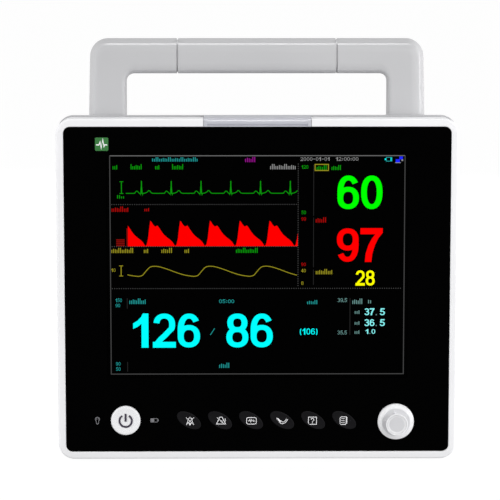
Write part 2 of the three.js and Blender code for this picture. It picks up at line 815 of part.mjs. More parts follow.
function mainBoard() {
  const board = box(-70, 130, 36, 37.6, 130, 260);
  const parts = [
    box(0, 34, 37.4, 40.2, 180, 214),
    box(52, 72, 37.4, 39.4, 186, 206),
    box(-52, -32, 37.4, 39.4, 220, 248),
    box(84, 120, 37.4, 46, 136, 146),
    box(-60, -20, 37.4, 44, 136, 144),
    box(90, 112, 37.4, 39.6, 220, 242),
  ];
  const heatSink = [0, 1, 2, 3, 4].map((i) => box(4 + i * 6, 6 + i * 6, 40, 50, 184, 210));
  return join(board, ...parts, ...heatSink);
}

function powerSupply() {
  const board = box(-60, 52, 48, 128, 14, 15.6);
  const parts = [
    box(-50, -12, 60, 94, 15.4, 44),
    box(2, 46, 54, 58, 15.4, 48),
    rod(9, 15.4, 42, "z", [8, 84, 0], 16),
    rod(6, 15.4, 36, "z", [34, 100, 0], 16),
    box(-56, -36, 104, 118, 15.4, 26),
  ];
  return join(board, ...parts);
}

function parameterBoard() {
  const board = box(-143, -141.4, 74, 132, 62, 196);
  const parts = [
    box(-141.6, -132, 80, 126, 128, 160),
    box(-141.6, -136, 84, 100, 70, 90),
    box(-141.6, -134, 84, 112, 170, 190),
  ];
  return join(board, ...parts);
}

const PUMP = { x: -112, y: 96, z: 156 };

function nibpPump() {
  const { x, y, z } = PUMP;
  const motor = rod(12, 0, 38, "x", [x + 16, y, z], 24);
  const head = box(x, x + 17, y - 14, y + 14, z - 14, z + 14);
  const outlet = rod(2, 13, 22, "z", [x + 8, y, z], 12);
  return join(motor, head, outlet);
}

function nibpHose() {
  // From the fitting's barb, across the top of the board, down to the pump's outlet.
  const route = new THREE.CatmullRomCurve3(
    [
      [PORTS.face + 12.4, PORTS.y, SOCKETS.nibp.z],
      [-137, PORTS.y, SOCKETS.nibp.z],
      [-126, PORTS.y - 1, SOCKETS.nibp.z - 1],
      [-112, PORTS.y - 4, SOCKETS.nibp.z - 6],
      [PUMP.x + 8, PUMP.y, SOCKETS.nibp.z - 16],
      [PUMP.x + 8, PUMP.y, PUMP.z + 28],
      [PUMP.x + 8, PUMP.y, PUMP.z + 22.4],
    ].map((point) => new THREE.Vector3(...point)),
  );
  const section = new THREE.Shape();
  section.absarc(0, 0, 3.1, 0, 2 * Math.PI, false);
  return new THREE.ExtrudeGeometry(section, {
    steps: 14,
    extrudePath: route,
    curveSegments: 5,
    bevelEnabled: false,
  });
}

function lcdCable() {
  // A flat ribbon from the main board's plug, through both plates, to the display's driver board.
  const route = new THREE.CatmullRomCurve3(
    [
      [-37, 41, 135.6],
      [-37, 41, 124],
      [-37, 38, 108],
      [-37, 26, 97],
      [-37, 19, 90],
      [-37, 13, 88.5],
    ].map((point) => new THREE.Vector3(...point)),
  );
  const section = new THREE.Shape();
  section.moveTo(-9, -0.4);
  section.lineTo(9, -0.4);
  section.lineTo(9, 0.4);
  section.lineTo(-9, 0.4);
  return new THREE.ExtrudeGeometry(section, { steps: 12, extrudePath: route, bevelEnabled: false });
}

function speaker() {
  const profile = [
    [0, 124],
    [14, 124],
    [14, 130],
    [26, 138],
    [29, 138],
    [29, 140.5],
    [24, 140.5],
    [10, 134],
    [0, 134],
  ];
  return turned(profile, "y", [90, 0, 226], 24);
}

// ---------------------------------------------------------------- assembly

add("front_bezel", frontBezel(), WHITE_ABS);
add("front_panel", frontPanel(), GLOSS_BLACK);
add("display_window", slab(screenOutline(5.4), 0.3, 1.7), CLEAR);
add("lcd_module", lcdModule(), DARK_PLASTIC);
add("lcd_bracket", lcdBracket(), STEEL);
add("alarm_lens", alarmLens(), LAMP_PLASTIC);
add("alarm_led_board", alarmLedBoard(), PCB_GREEN);

add("power_button", powerButton(), WHITE_ABS);
KEY_NAMES.forEach((name, i) => add(name, softKey(keyX(i)), KEY_RUBBER));
add("keypad_mat", keypadMat(), SOFT_GREY);
add("key_board", keyBoard(), PCB_GREEN);
add("encoder_body", encoderBody(), DARK_PLASTIC);
add("encoder_plunger", encoderPlunger(), DARK_PLASTIC);
add("encoder_shaft", encoderShaft(), STEEL);
add("control_knob", controlKnob(), WHITE_ABS);

add("rear_casing", rearCasing(), GREY_ABS);
[-SCREW_X, SCREW_X]
  .flatMap((x) => SCREW_Z.map((z) => [x, z]))
  .forEach(([x, z], i) => add("casing_screw_" + (i + 1), casingScrew(x, z), STEEL));
[36, 118]
  .flatMap((y) => [-140, 140].map((x) => [x, y]))
  .forEach(([x, y], i) => add("foot_" + (i + 1), foot(x, y), SOFT_GREY));

add("handle_arm_left", handleArm(-1), GREY_ABS);
add("handle_arm_right", handleArm(1), GREY_ABS);
add("handle_grip", handleGrip(), GREY_ABS);
add("handle_core_rod", handleCoreRod(), STEEL);
add("handle_screw_left", handleScrew(-1), STEEL);
add("handle_screw_right", handleScrew(1), STEEL);

add("patient_port_panel", patientPortPanel(), WHITE_ABS);
add("nibp_port", nibpPort(), STEEL);
add("spo2_socket", socket(SOCKETS.spo2.z, 10, 12, 8.2, 12), BLUE_PLASTIC);
add("ecg_socket", socket(SOCKETS.ecg.z, 12, 14, 9.6, 13), DARK_PLASTIC);
add("temp_socket_1", socket(SOCKETS.temp1.z, 7, 8.6, 3.4, 12), DARK_PLASTIC);
add("temp_socket_2", socket(SOCKETS.temp2.z, 7, 8.6, 3.4, 12), DARK_PLASTIC);

add("battery_door", batteryDoor(), GREY_ABS);
add("door_hinge_pin", doorHingePin(), STEEL);
add("battery_bay", batteryBay(), DARK_PLASTIC);
add("battery_pack", batteryPack(), BATTERY_WRAP);

add("rear_port_plate", rearPortPlate(), STEEL);
add("ac_inlet", acInlet(), DARK_PLASTIC);
add("fuse_drawer", fuseDrawer(), DARK_PLASTIC);
add("mains_fuse_1", mainsFuse(-5), STEEL);
add("mains_fuse_2", mainsFuse(5), STEEL);
add("ground_post", groundPost(), STEEL);
add("network_port", networkPort(), STEEL);

add("chassis_plate", chassisPlate(), STEEL);
add("main_board", mainBoard(), PCB_GREEN);
add("power_supply", powerSupply(), PCB_GREEN);
add("parameter_board", parameterBoard(), PCB_GREEN);
add("nibp_pump", nibpPump(), DARK_PLASTIC);
add("nibp_hose", nibpHose(), CABLE_CLEAR);
add("lcd_cable", lcdCable(), CABLE_CLEAR);
add("speaker", speaker(), DARK_PLASTIC);

const monitor = new THREE.Group();
monitor.add(body);
export default monitor;
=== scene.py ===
"""A bedside patient monitor: its finished surfaces, its lit picture and its studio, round the CAD frame.

Shapes are written in the casing's own millimetres: x from the middle, y back from the front face, z up from
the casing's underside. place() turns them into the frame's metres.
"""

import math

import bmesh
import bpy
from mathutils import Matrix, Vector


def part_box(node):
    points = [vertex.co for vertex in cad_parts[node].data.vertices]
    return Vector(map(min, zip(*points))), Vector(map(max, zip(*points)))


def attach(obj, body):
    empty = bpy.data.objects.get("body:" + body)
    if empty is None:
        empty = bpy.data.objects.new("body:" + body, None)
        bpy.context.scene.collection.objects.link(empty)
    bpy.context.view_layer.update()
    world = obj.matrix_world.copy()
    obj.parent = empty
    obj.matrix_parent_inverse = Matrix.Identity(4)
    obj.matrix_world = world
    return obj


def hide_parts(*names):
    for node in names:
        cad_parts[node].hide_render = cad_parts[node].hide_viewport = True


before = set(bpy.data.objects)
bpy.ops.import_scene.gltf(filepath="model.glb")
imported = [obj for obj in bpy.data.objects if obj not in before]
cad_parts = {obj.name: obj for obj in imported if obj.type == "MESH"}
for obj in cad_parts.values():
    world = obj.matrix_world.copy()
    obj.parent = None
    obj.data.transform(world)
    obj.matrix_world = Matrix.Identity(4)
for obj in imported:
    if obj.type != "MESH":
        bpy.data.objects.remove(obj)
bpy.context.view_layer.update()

# ---- sizes, in millimetres ----

MM = 0.001
BEZEL_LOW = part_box("front_bezel")[0]
ORIGIN = Vector((0, BEZEL_LOW.y, BEZEL_LOW.z))


def box_of(node):
    """The lowest and highest corner of a CAD node, in the casing's millimetres."""
    low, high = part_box(node)
    return (low - ORIGIN) / MM, (high - ORIGIN) / MM


def middle_of(node):
    low, high = box_of(node)
    return (low + high) / 2


GAP, WALL = 0.3, 2.8
CASE_HALF, BEZEL_BACK, CASE_TOP = box_of("front_bezel")[1]
CASE_RADIUS = 13.5

PANEL_LOW, PANEL_HIGH = box_of("front_panel")
PANEL_RADIUS = 5.3
PANEL_FACE = PANEL_LOW.y

WINDOW_LOW, WINDOW_HIGH = box_of("display_window")
WINDOW_SEAT = 2
PICTURE_MARGIN = 2.8
PICTURE_LEFT = WINDOW_LOW.x + PICTURE_MARGIN
PICTURE_TOP = WINDOW_HIGH.z - PICTURE_MARGIN
PICTURE_WIDTH = -2 * PICTURE_LEFT
PICTURE_HEIGHT = 185.0
PICTURE_SCALE = 0.995
PICTURE_PLANE = 0.29
INK_LAYER = 0.012

LAMP_LOW, LAMP_HIGH = box_of("alarm_lens")
CONTROL_Z = middle_of("power_button").z
MAINS_SIGN_X, BATTERY_SIGN_X = -134.9, -86.8
BADGE_LEFT, BADGE_BOTTOM, BADGE_SIZE = -135.0, 261.5, 11.1
KEY_LONG, KEY_SHORT, KEY_TILT = 11.3, 6.1, -30.7
KEYS = ("alarm_silence_key", "alarm_pause_key", "freeze_key", "nibp_start_key", "help_key", "record_key")
KNOB_FLUTES, KNOB_FIRST_RIDGE, KNOB_STEPS, SHAFT_BORE = 5, 0.5, 160, 3.3

HUMP_HALF = 156.6
REAR_BOTTOM = 0.4
SHOULDER_Y, SHOULDER_Z = 70, 286.6
CREST_Y, CREST_Z = 22, 290
BODY_BACK = 145
BAY_LEFT, BAY_RIGHT, BAY_BOTTOM, BAY_TOP, BAY_PLATE = -128, 28, 22, 66, 133.2
PORTS_Y = middle_of("patient_port_panel").y
PORTS_FACE = box_of("patient_port_panel")[0].x
SCREW_SPOTS = [(x, z) for x in (-160.5, 160.5) for z in (42, 248)]

HANDLE_OUTER, HANDLE_DRAFT, HANDLE_INNER, HANDLE_SEAM = 141.4, 1.2, 110.9, 67.8
BAR_TOP, BAR_BOTTOM = 353.6, 324.0
HANDLE_FRONT = box_of("handle_grip")[0].y
HANDLE_DEPTH = box_of("handle_grip")[1].y - HANDLE_FRONT
OUTER_BEND, INNER_BEND = 15.5, 7.5
SEAM_WIDTH, SEAM_ROUND, SEAM_DEPTH = 1.2, 0.9, 1.4

# How bright the room is: to the eye, in a gloss, and as soft light from below and above.
WORLD_SEEN, WORLD_MIRRORED, WORLD_BELOW, WORLD_ABOVE = 0.98, 0.65, 0.56, 0.57
FLOOR_REACH, FLOOR_GLOW = 60, 0.92
LENS, SENSOR, CAMERA_DISTANCE, CAMERA_PITCH, CAMERA_YAW = 158.4, 36, 1.839, 7, 0.5
CAMERA_TARGET = (-6.2, 0, 178.4)

# ---- materials ----


def linear(*screen):
    """A colour named by its 0 to 255 screen values, as the shader's linear colour."""
    def part(value):
        value /= 255
        return value / 12.92 if value <= 0.04045 else ((value + 0.055) / 1.055) ** 2.4
    return tuple(part(value) for value in screen) + (1,)


def scaled(color, factor):
    return tuple(min(1.0, c * factor) for c in color[:3]) + (1,)


class Tree:
    """The nodes of a material or a world, with short ways to add and join them."""

    def __init__(self, owner):
        owner.use_nodes = True
        self.nodes = owner.node_tree.nodes
        self.links = owner.node_tree.links

    def add(self, kind, **sockets):
        node = self.nodes.new("ShaderNode" + kind)
        for socket, value in sockets.items():
            node.inputs[socket.replace("_", " ")].default_value = value
        return node

    def link(self, output, node, socket):
        self.links.new(output, node.inputs[socket])


class Shader(Tree):
    """A Principled material whose colour, roughness and relief come from noise in the piece's own space."""

    def __init__(self, name, **sockets):
        self.material = bpy.data.materials.new(name)
        super().__init__(self.material)
        self.bsdf = self.nodes["Principled BSDF"]
        self.spot = self.add("TexCoord").outputs["Object"]
        for socket, value in sockets.items():
            self.bsdf.inputs[socket.replace("_", " ")].default_value = value

    def noise(self, size, detail=2.0, stretch=(1, 1, 1)):
        """Noise whose features are about this many millimetres across."""
        mapping = self.add("Mapping", Scale=[s / (size * MM) for s in stretch])
        noise = self.add("TexNoise", Scale=1, Detail=detail)
        self.link(self.spot, mapping, "Vector")
        self.link(mapping.outputs["Vector"], noise, "Vector")
        return noise.outputs["Fac"]

    def paint(self, factor, stops, interpolation="LINEAR"):
        ramp = self.add("ValToRGB")
        ramp.color_ramp.interpolation = interpolation
        elements = ramp.color_ramp.elements
        while len(elements) < len(stops):
            elements.new(0.5)
        for element, (position, color) in zip(elements, stops):
            element.position = position
            element.color = color
        self.link(factor, ramp, "Fac")
        self.link(ramp.outputs["Color"], self.bsdf, "Base Color")

    def mottle(self, color, size, amount):
        """Slow drift of the colour, lighter and darker by this share."""
        self.paint(self.noise(size), [(0.3, scaled(color, 1 - amount)), (0.7, scaled(color, 1 + amount))])

    def polish(self, low, high, size, **how):
        """Roughness that wanders between two values."""
        spread = self.add("MapRange", From_Min=0.3, From_Max=0.7, To_Min=low, To_Max=high)
        self.link(self.noise(size, **how), spread, "Value")
        self.link(spread.outputs["Result"], self.bsdf, "Roughness")

    def relief(self, height, strength, depth):
        bump = self.add("Bump", Strength=strength, Distance=depth * MM)
        self.link(height, bump, "Height")
        self.link(bump.outputs["Normal"], self.bsdf, "Normal")


def moulded_plastic(name, color, low, high, grain=0.7, strength=0.1, **sockets):
    """Injection-moulded plastic: a fine spark-eroded grain with small changes of shade and gloss."""
    shader = Shader(name, **sockets)
    shader.mottle(color, 60, 0.015)
    shader.polish(low, high, 14)
    shader.relief(shader.noise(grain, 1), strength, 0.06)
    return shader.material


def gloss_acrylic(name, color, specular):
    """A polished sheet: nearly smooth, with a slow waviness and faint wipe marks in its gloss."""
    shader = Shader(name, Specular_IOR_Level=specular)
    shader.mottle(color, 40, 0.1)
    shader.polish(0.07, 0.13, 30, stretch=(1, 1, 0.3))
    shader.relief(shader.noise(45, 1), 0.04, 0.05)
    return shader.material


def metal(name, color, low, high, stretch=(1, 1, 8)):
    """Plated or brushed metal with fine marks along one direction."""
    shader = Shader(name, Metallic=1.0)
    shader.mottle(color, 12, 0.05)
    shader.polish(low, high, 1.2, stretch=stretch)
    shader.relief(shader.noise(0.5, 2, stretch), 0.08, 0.02)
    return shader.material


def rubber(name, color, roughness):
    shader = Shader(name, Specular_IOR_Level=0.12)
    shader.mottle(color, 9, 0.08)
    shader.polish(roughness - 0.06, roughness + 0.06, 5)
    shader.relief(shader.noise(0.6, 4), 0.25, 0.08)
    return shader.material


def circuit_board(name):
    """Green solder mask with copper runs under it."""
    shader = Shader(name)
    cells = shader.add("TexVoronoi", Scale=1 / (4 * MM))
    cells.distance = "MANHATTAN"
    shader.link(shader.spot, cells, "Vector")
    edge = cells.outputs["Distance"]
    mask, run = (0.012, 0.095, 0.035, 1), (0.03, 0.17, 0.07, 1)
    shader.paint(edge, [(0.0, run), (0.18, mask), (0.8, mask)], "CONSTANT")
    shader.polish(0.3, 0.5, 3)
    shader.relief(edge, 0.15, 0.08)
    return shader.material


def glowing(name, color):
    """Lit picture elements behind the window. Their light is even, and only their gloss drifts."""
    shader = Shader(
        name, Base_Color=(0, 0, 0, 1), Specular_IOR_Level=0.0, Emission_Color=color, Emission_Strength=1.0,
    )
    shader.polish(0.3, 0.5, 20)
    return shader.material


WHITE = moulded_plastic(
    "white_abs", linear(243, 243, 245), 0.4, 0.48, grain=4.0, strength=0.04, Specular_IOR_Level=0.4,
)
GREY = moulded_plastic("grey_abs", linear(194, 194, 196), 0.4, 0.44, grain=2.0, strength=0.03)
KNOB_WHITE = moulded_plastic("knob_white", linear(243, 243, 245), 0.34, 0.4, grain=3.0, strength=0.03)
# Darker grey on the knob's waist: painted shade in the hollows of its flutes.
KNOB_WAIST_PAINTED_SHADE = moulded_plastic("knob_waist_painted_shade", linear(214, 214, 217), 0.5, 0.58, grain=1.2, strength=0.04)
# A little greyer than the knob on its finger rest: painted shade in the dish.
KNOB_REST_PAINTED_SHADE = moulded_plastic("knob_rest_painted_shade", linear(232, 232, 234), 0.5, 0.58, grain=1.2, strength=0.05)
LAMP_MILK = moulded_plastic(
    "lamp_polycarbonate", linear(196, 197, 205), 0.3, 0.36, strength=0.04,
    Subsurface_Weight=0.15, Subsurface_Radius=(0.002, 0.002, 0.002),
)
BLACK_PANEL = gloss_acrylic("black_acrylic", (0.0003, 0.0003, 0.00035, 1), 0.01)
WINDOW = gloss_acrylic("display_glass", (0.0001, 0.0001, 0.00012, 1), 0.01)
KEY_BLACK = rubber("key_silicone", linear(12, 11, 14), 0.6)
FOOT_RUBBER = rubber("foot_rubber", linear(70, 70, 72), 0.75)
DARK = moulded_plastic("dark_nylon", linear(38, 38, 40), 0.45, 0.6, strength=0.2)
BLUE = moulded_plastic("blue_socket", linear(44, 92, 168), 0.35, 0.48)
GREEN = moulded_plastic("green_socket", linear(44, 140, 92), 0.35, 0.48)
STEEL = metal("zinc_steel", (0.56, 0.57, 0.58, 1), 0.3, 0.42)
BRASS = metal("turned_brass", (0.72, 0.56, 0.28, 1), 0.3, 0.38)
GOLD = metal("gold_contact", (0.83, 0.62, 0.3, 1), 0.29, 0.34)
BOARD = circuit_board("solder_mask")
HOSE = rubber("pale_hose", linear(205, 205, 196), 0.45)
WRAP = moulded_plastic("shrink_wrap", linear(50, 66, 92), 0.3, 0.5, grain=2)
PRINT_WHITE = moulded_plastic("white_print", linear(250, 250, 252), 0.5, 0.6)
PRINT_GREY = moulded_plastic("grey_print", linear(122, 122, 126), 0.5, 0.6)
PRINT_VIOLET = moulded_plastic("dark_print", linear(52, 44, 62), 0.5, 0.6)
BADGE_GREEN = moulded_plastic("badge_green", linear(40, 116, 48), 0.35, 0.45)

# ---- mesh helpers ----


def place(points):
    return [ORIGIN + Vector(p) * MM for p in points]


def new_object(name, data):
    obj = bpy.data.objects.new(name, data)
    bpy.context.scene.collection.objects.link(obj)
    return obj


def mesh_object(name, points, faces):
    mesh = bpy.data.meshes.new(name)
    mesh.from_pydata(place(points), [], faces)
    work = bmesh.new()
    work.from_mesh(mesh)
    bmesh.ops.recalc_face_normals(work, faces=work.faces)
    work.to_mesh(mesh)
    work.free()
    return new_object(name, mesh)


def slab(x0, x1, z0, z1):
    """The corners of a rectangle as [x, z] points."""
    return [(x0, z0), (x1, z0), (x1, z1), (x0, z1)]


def arc(x, z, wide, high, start, end, steps):
    """Points from one angle to another, in degrees, on a circle or an oval."""
    turns = [math.radians(start + (end - start) * i / steps) for i in range(steps + 1)]
    return [(x + wide * math.cos(t), z + high * math.sin(t)) for t in turns]


def outline(x0, x1, z0, z1, radius, steps=12):
    """A rounded rectangle as [x, z] points, counter-clockwise seen from the front."""
    corners = [
        (x1 - radius, z0 + radius, -90),
        (x1 - radius, z1 - radius, 0),
        (x0 + radius, z1 - radius, 90),
        (x0 + radius, z0 + radius, 180),
    ]
    return [p for cx, cz, start in corners for p in arc(cx, cz, radius, radius, start, start + 90, steps)]


def circle(x, z, radius, steps=48):
    return arc(x, z, radius, radius, 0, 360, steps)[:-1]


def ellipse(x, z, long, short, tilt, steps=72):
    c, s = math.cos(math.radians(tilt)), math.sin(math.radians(tilt))
    return [
        (x + long * u * c - short * v * s, z + long * u * s + short * v * c)
        for u, v in circle(0, 0, 1, steps)
    ]


def ring(points, y):
    return [(x, y, z) for x, z in points]


def loft(name, rings, tube=False):
    """Quads between rings of equal counts, closed by two end faces, or joined end to end as a tube."""
    count = len(rings[0])
    faces = []
    pairs = list(zip(range(len(rings)), range(1, len(rings))))
    if tube:
        pairs.append((len(rings) - 1, 0))
    for a, b in pairs:
        for i in range(count):
            j = (i + 1) % count
            faces.append((a * count + i, a * count + j, b * count + j, b * count + i))
    if not tube:
        faces.append(tuple(range(count)))
        faces.append(tuple(range((len(rings) - 1) * count, len(rings) * count)))
    return mesh_object(name, [p for r in rings for p in r], faces)


def prism(name, points, y0, y1):
    return loft(name, [ring(points, y0), ring(points, y1)])


def side_prism(name, points, x0, x1):
    """A prism of a [y, z] outline that runs along x."""
    return loft(name, [[(x, y, z) for y, z in points] for x in (x0, x1)])


def block(name, x0, x1, y0, y1, z0, z1):
    return prism(name, slab(x0, x1, z0, z1), y0, y1)


def deeper(start, profile):
    """A profile of [radius, depth] moved back by a start depth."""
    return [(radius, start + depth) for radius, depth in profile]


def turned(name, profile, axis, centre, steps=64, tube=False):
    """A turned solid. Its profile of [radius, distance along the axis] ends on the axis, or is a loop."""
    spot = {
        "x": lambda along, u, v: (along, u, v),
        "y": lambda along, u, v: (u, along, v),
        "z": lambda along, u, v: (u, v, along),
    }[axis]
    rings = []
    for radius, along in profile:
        loop = circle(0, 0, max(radius, 0.001), steps)
        rings.append([tuple(Vector(centre) + Vector(spot(along, u, v))) for u, v in loop])
    return loft(name, rings, tube)


def rod(name, radius, start, end, axis, centre, steps=32):
    return turned(name, [(0, start), (radius, start), (radius, end), (0, end)], axis, centre, steps)


def modify(obj, name, kind, **settings):
    step = obj.modifiers.new(name, kind)
    for setting, value in settings.items():
        setattr(step, setting, value)


def bake(obj):
    """Replaces the mesh with what its modifiers make of it."""
    graph = bpy.context.evaluated_depsgraph_get()
    made = bpy.data.meshes.new_from_object(obj.evaluated_get(graph))
    obj.modifiers.clear()
    obj.data = made


def merge(name, objects):
    """Several closed meshes in one object. They stay separate shells."""
    work = bmesh.new()
    for obj in objects:
        work.from_mesh(obj.data)
    mesh = bpy.data.meshes.new(name)
    work.to_mesh(mesh)
    work.free()
    for obj in objects:
        bpy.data.objects.remove(obj)
    return new_object(name, mesh)


def combine(obj, operation, others):
    """Joins solids to a solid or cuts them out of it, then removes them."""
    tool = merge("tool", others)
    union = operation == "UNION"
    modify(obj, "shape", "BOOLEAN", operation=operation, solver="EXACT", use_self=union, object=tool)
    bake(obj)
    bpy.data.objects.remove(tool)
    return obj


def cut(obj, *tools):
    return combine(obj, "DIFFERENCE", tools)


def join(obj, *more):
    return combine(obj, "UNION", more)


def soften(obj, width, segments, angle):
    """Rounds the sharp edges and shades the rest smoothly, with flat faces kept flat."""
    if width:
        modify(
            obj, "edges", "BEVEL", width=width * MM, segments=segments, limit_method="ANGLE",
            angle_limit=math.radians(angle), miter_outer="MITER_ARC",
        )
        bake(obj)
    obj.data.polygons.foreach_set("use_smooth", [True] * len(obj.data.polygons))
    obj.data.set_sharp_from_angle(angle=math.radians(40))
    modify(obj, "flats", "WEIGHTED_NORMAL", keep_sharp=True)


def show(obj, material, body, *replaced):
    """Gives a piece its finish and its body, in place of the CAD nodes named."""
    obj.data.materials.clear()
    obj.data.materials.append(material)
    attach(obj, body)
    if replaced:
        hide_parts(*replaced)


def finish(obj, material, *replaced, body="casing", edge=0, segments=2, angle=35):
    soften(obj, edge, segments, angle)
    show(obj, material, body, *replaced)


def bend_path(stations, reach, steps=4):
    """Rounds each inner corner of a path by a curve that starts and ends this far along its two sides."""
    path = [Vector(stations[0])]
    for before, corner, after, size in zip(stations, stations[1:], stations[2:], reach):
        before, corner, after = Vector(before), Vector(corner), Vector(after)
        start = corner + (before - corner).normalized() * size
        end = corner + (after - corner).normalized() * size
        for i in range(steps + 1):
            t = i / steps
            path.append(start * (1 - t) ** 2 + corner * 2 * t * (1 - t) + end * t ** 2)
    path.append(Vector(stations[-1]))
    return path


# ---- front ----


def case_outline(inset):
    half = CASE_HALF - inset
    return outline(-half, half, inset, CASE_TOP - inset, CASE_RADIUS - inset, 14)


def box_outline(low, high, grow, radius, steps):
    """A rounded rectangle round the front of a box, this far out from it."""
    return outline(low.x - grow, high.x + grow, low.z - grow, high.z + grow, radius, steps)


def panel_outline(grow):
    return box_outline(PANEL_LOW, PANEL_HIGH, grow, PANEL_RADIUS + grow, 14)


def window_outline(grow, radius):
    return box_outline(WINDOW_LOW, WINDOW_HIGH, grow, radius, 5)


def lamp_notch():
    side = LAMP_HIGH.x + GAP
    return block("notch", -side, side, -1, LAMP_HIGH.y + GAP, LAMP_LOW.z - GAP, LAMP_HIGH.z + 2)


def make_bezel():
    """The frame: a thin lip at the panel, a slope, a round edge, and a hollow back."""
    lip = [(0.3, 5.4), (0.3, 0.5), (0.4, 0.18), (0.7, 0)]
    slope = [
        (5.4, 0.02), (5.1, 0.06), (2.2, 0.42), (1.6, 0.6), (1.1, 0.9),
        (0.7, 1.35), (0.35, 2.0), (0.1, 3.0), (0, 4.2),
    ]
    back = [(0, BEZEL_BACK - 0.15), (0.15, BEZEL_BACK), (WALL - 0.2, BEZEL_BACK), (WALL, BEZEL_BACK - 0.2)]
    rings = [ring(panel_outline(grow), y) for grow, y in lip]
    rings += [ring(case_outline(inset), y) for inset, y in slope + back + [(WALL, 5.5)]]
    bezel = cut(loft("bezel_frame", rings, tube=True), lamp_notch())
    finish(bezel, WHITE, "front_bezel", edge=0.2)


def key_outline(node, grow):
    return ellipse(middle_of(node).x, CONTROL_Z, KEY_LONG + grow, KEY_SHORT + grow, KEY_TILT)


def make_panel():
    panel = prism("gloss_panel", panel_outline(0), PANEL_LOW.y, PANEL_HIGH.y)
    recess = prism("recess", window_outline(GAP, 1.3), -1, 2)
    opening = prism("opening", window_outline(-WINDOW_SEAT, 1), 1.5, 5)
    knob = middle_of("control_knob")
    holes = [prism(node + "_hole", key_outline(node, 0.35), -1, 5) for node in KEYS]
    holes.append(prism("power_hole", circle(middle_of("power_button").x, CONTROL_Z, 12.75, 72), -1, 5))
    holes.append(prism("shaft_hole", circle(knob.x, knob.z, 5.2), -1, 5))
    cut(panel, recess)
    cut(panel, opening, *holes)
    finish(panel, BLACK_PANEL, "front_panel", edge=0.2)


def make_window():
    window = prism("display_pane", window_outline(0, 1), WINDOW_LOW.y, WINDOW_HIGH.y)
    finish(window, WINDOW, "display_window", edge=0.1)


def make_lamp():
    """A milky hood with two plain ends. Its lens bulges over a shadowed lower edge, under a small step."""
    half, back, low, high = LAMP_HIGH.x, LAMP_HIGH.y, LAMP_LOW.z, LAMP_HIGH.z
    frame_front = [
        (0.4, 0), (0.4, 0.5), (0.4, 1.0), (0.45, 1.6), (0.5, 2.4), (0.65, 3.4),
        (0.95, 4.4), (1.5, 5.3), (2.3, 6.0), (3.0, 6.35), (3.3, 6.4),
    ]
    lens_front = [
        (0.4, 0), (0.4, 0.6), (0.55, 0.75), (2.3, 0.85), (2.0, 1.25), (1.35, 1.9),
        (0.95, 2.6), (0.8, 3.5), (0.95, 4.6), (1.9, 5.6), (3.3, 6.1),
    ]
    top = [(3.5, low + 6.75), (5.4, low + 7.1), (15, high - 0.5), (back, high)]
    inside = [(back, high - 2.2), (8, low + 4.6), (5.2, low + 4.3), (4.6, low + 2.1), (4.4, low)]
    stations = [
        (-half, frame_front), (2.6 - half, frame_front), (3.2 - half, lens_front),
        (half - 3.2, lens_front), (half - 2.6, frame_front), (half, frame_front),
    ]
    rings = []
    for x, front in stations:
        rings.append([(x, y, z) for y, z in [(y, low + up) for y, up in front] + top + inside])
    finish(loft("lamp_hood", rings), LAMP_MILK, "alarm_lens", edge=0.15)


# ---- flat marks: strokes, figures and gathered shapes ----


def stroke(points, pen, closed=False):
    """The quads of a line drawn by a pen that may be wider than it is high."""
    points = [Vector(p) for p in points]
    count = len(points)
    left, right = [], []
    for i, point in enumerate(points):
        before = points[i - 1] if i or closed else None
        after = points[(i + 1) % count] if i < count - 1 or closed else None
        into = (point - before).normalized() if before is not None else (after - point).normalized()
        out = (after - point).normalized() if after is not None else into
        normal = Vector((-into.y - out.y, into.x + out.x)).normalized()
        reach = 1 / max(0.35, normal.dot(Vector((-into.y, into.x))))
        offset = Vector((normal.x * pen[0] / 2, normal.y * pen[1] / 2)) * reach
        left.append(point + offset)
        right.append(point - offset)
    quads = []
    for i in range(count if closed else count - 1):
        j = (i + 1) % count
        quads.append([tuple(left[i]), tuple(right[i]), tuple(right[j]), tuple(left[j])])
    return quads


FIGURE_HEIGHT, FIGURE_GAP, PEN = 100, 4.5, (17.2, 14.4)


def oval(x, z, wide, high, start=0, end=360, steps=26):
    """Part of a slightly squared oval."""
    def squared(value):
        return math.copysign(abs(value) ** 0.88, value)

    turns = arc(0, 0, 1, 1, start, end, steps)
    return [(x + wide * squared(u), z + high * squared(v)) for u, v in turns[:steps + (end - start < 360)]]


def turned_over(points):
    return [(66 - x, FIGURE_HEIGHT - z) for x, z in points]


SIX_BOWL = oval(33, 33.4, 23.6, 25.7)
SIX_SPINE = [(9.6, 34), (9.4, 44)] + oval(33.6, 50, 24.2, 42.3, 36, 180)[::-1]

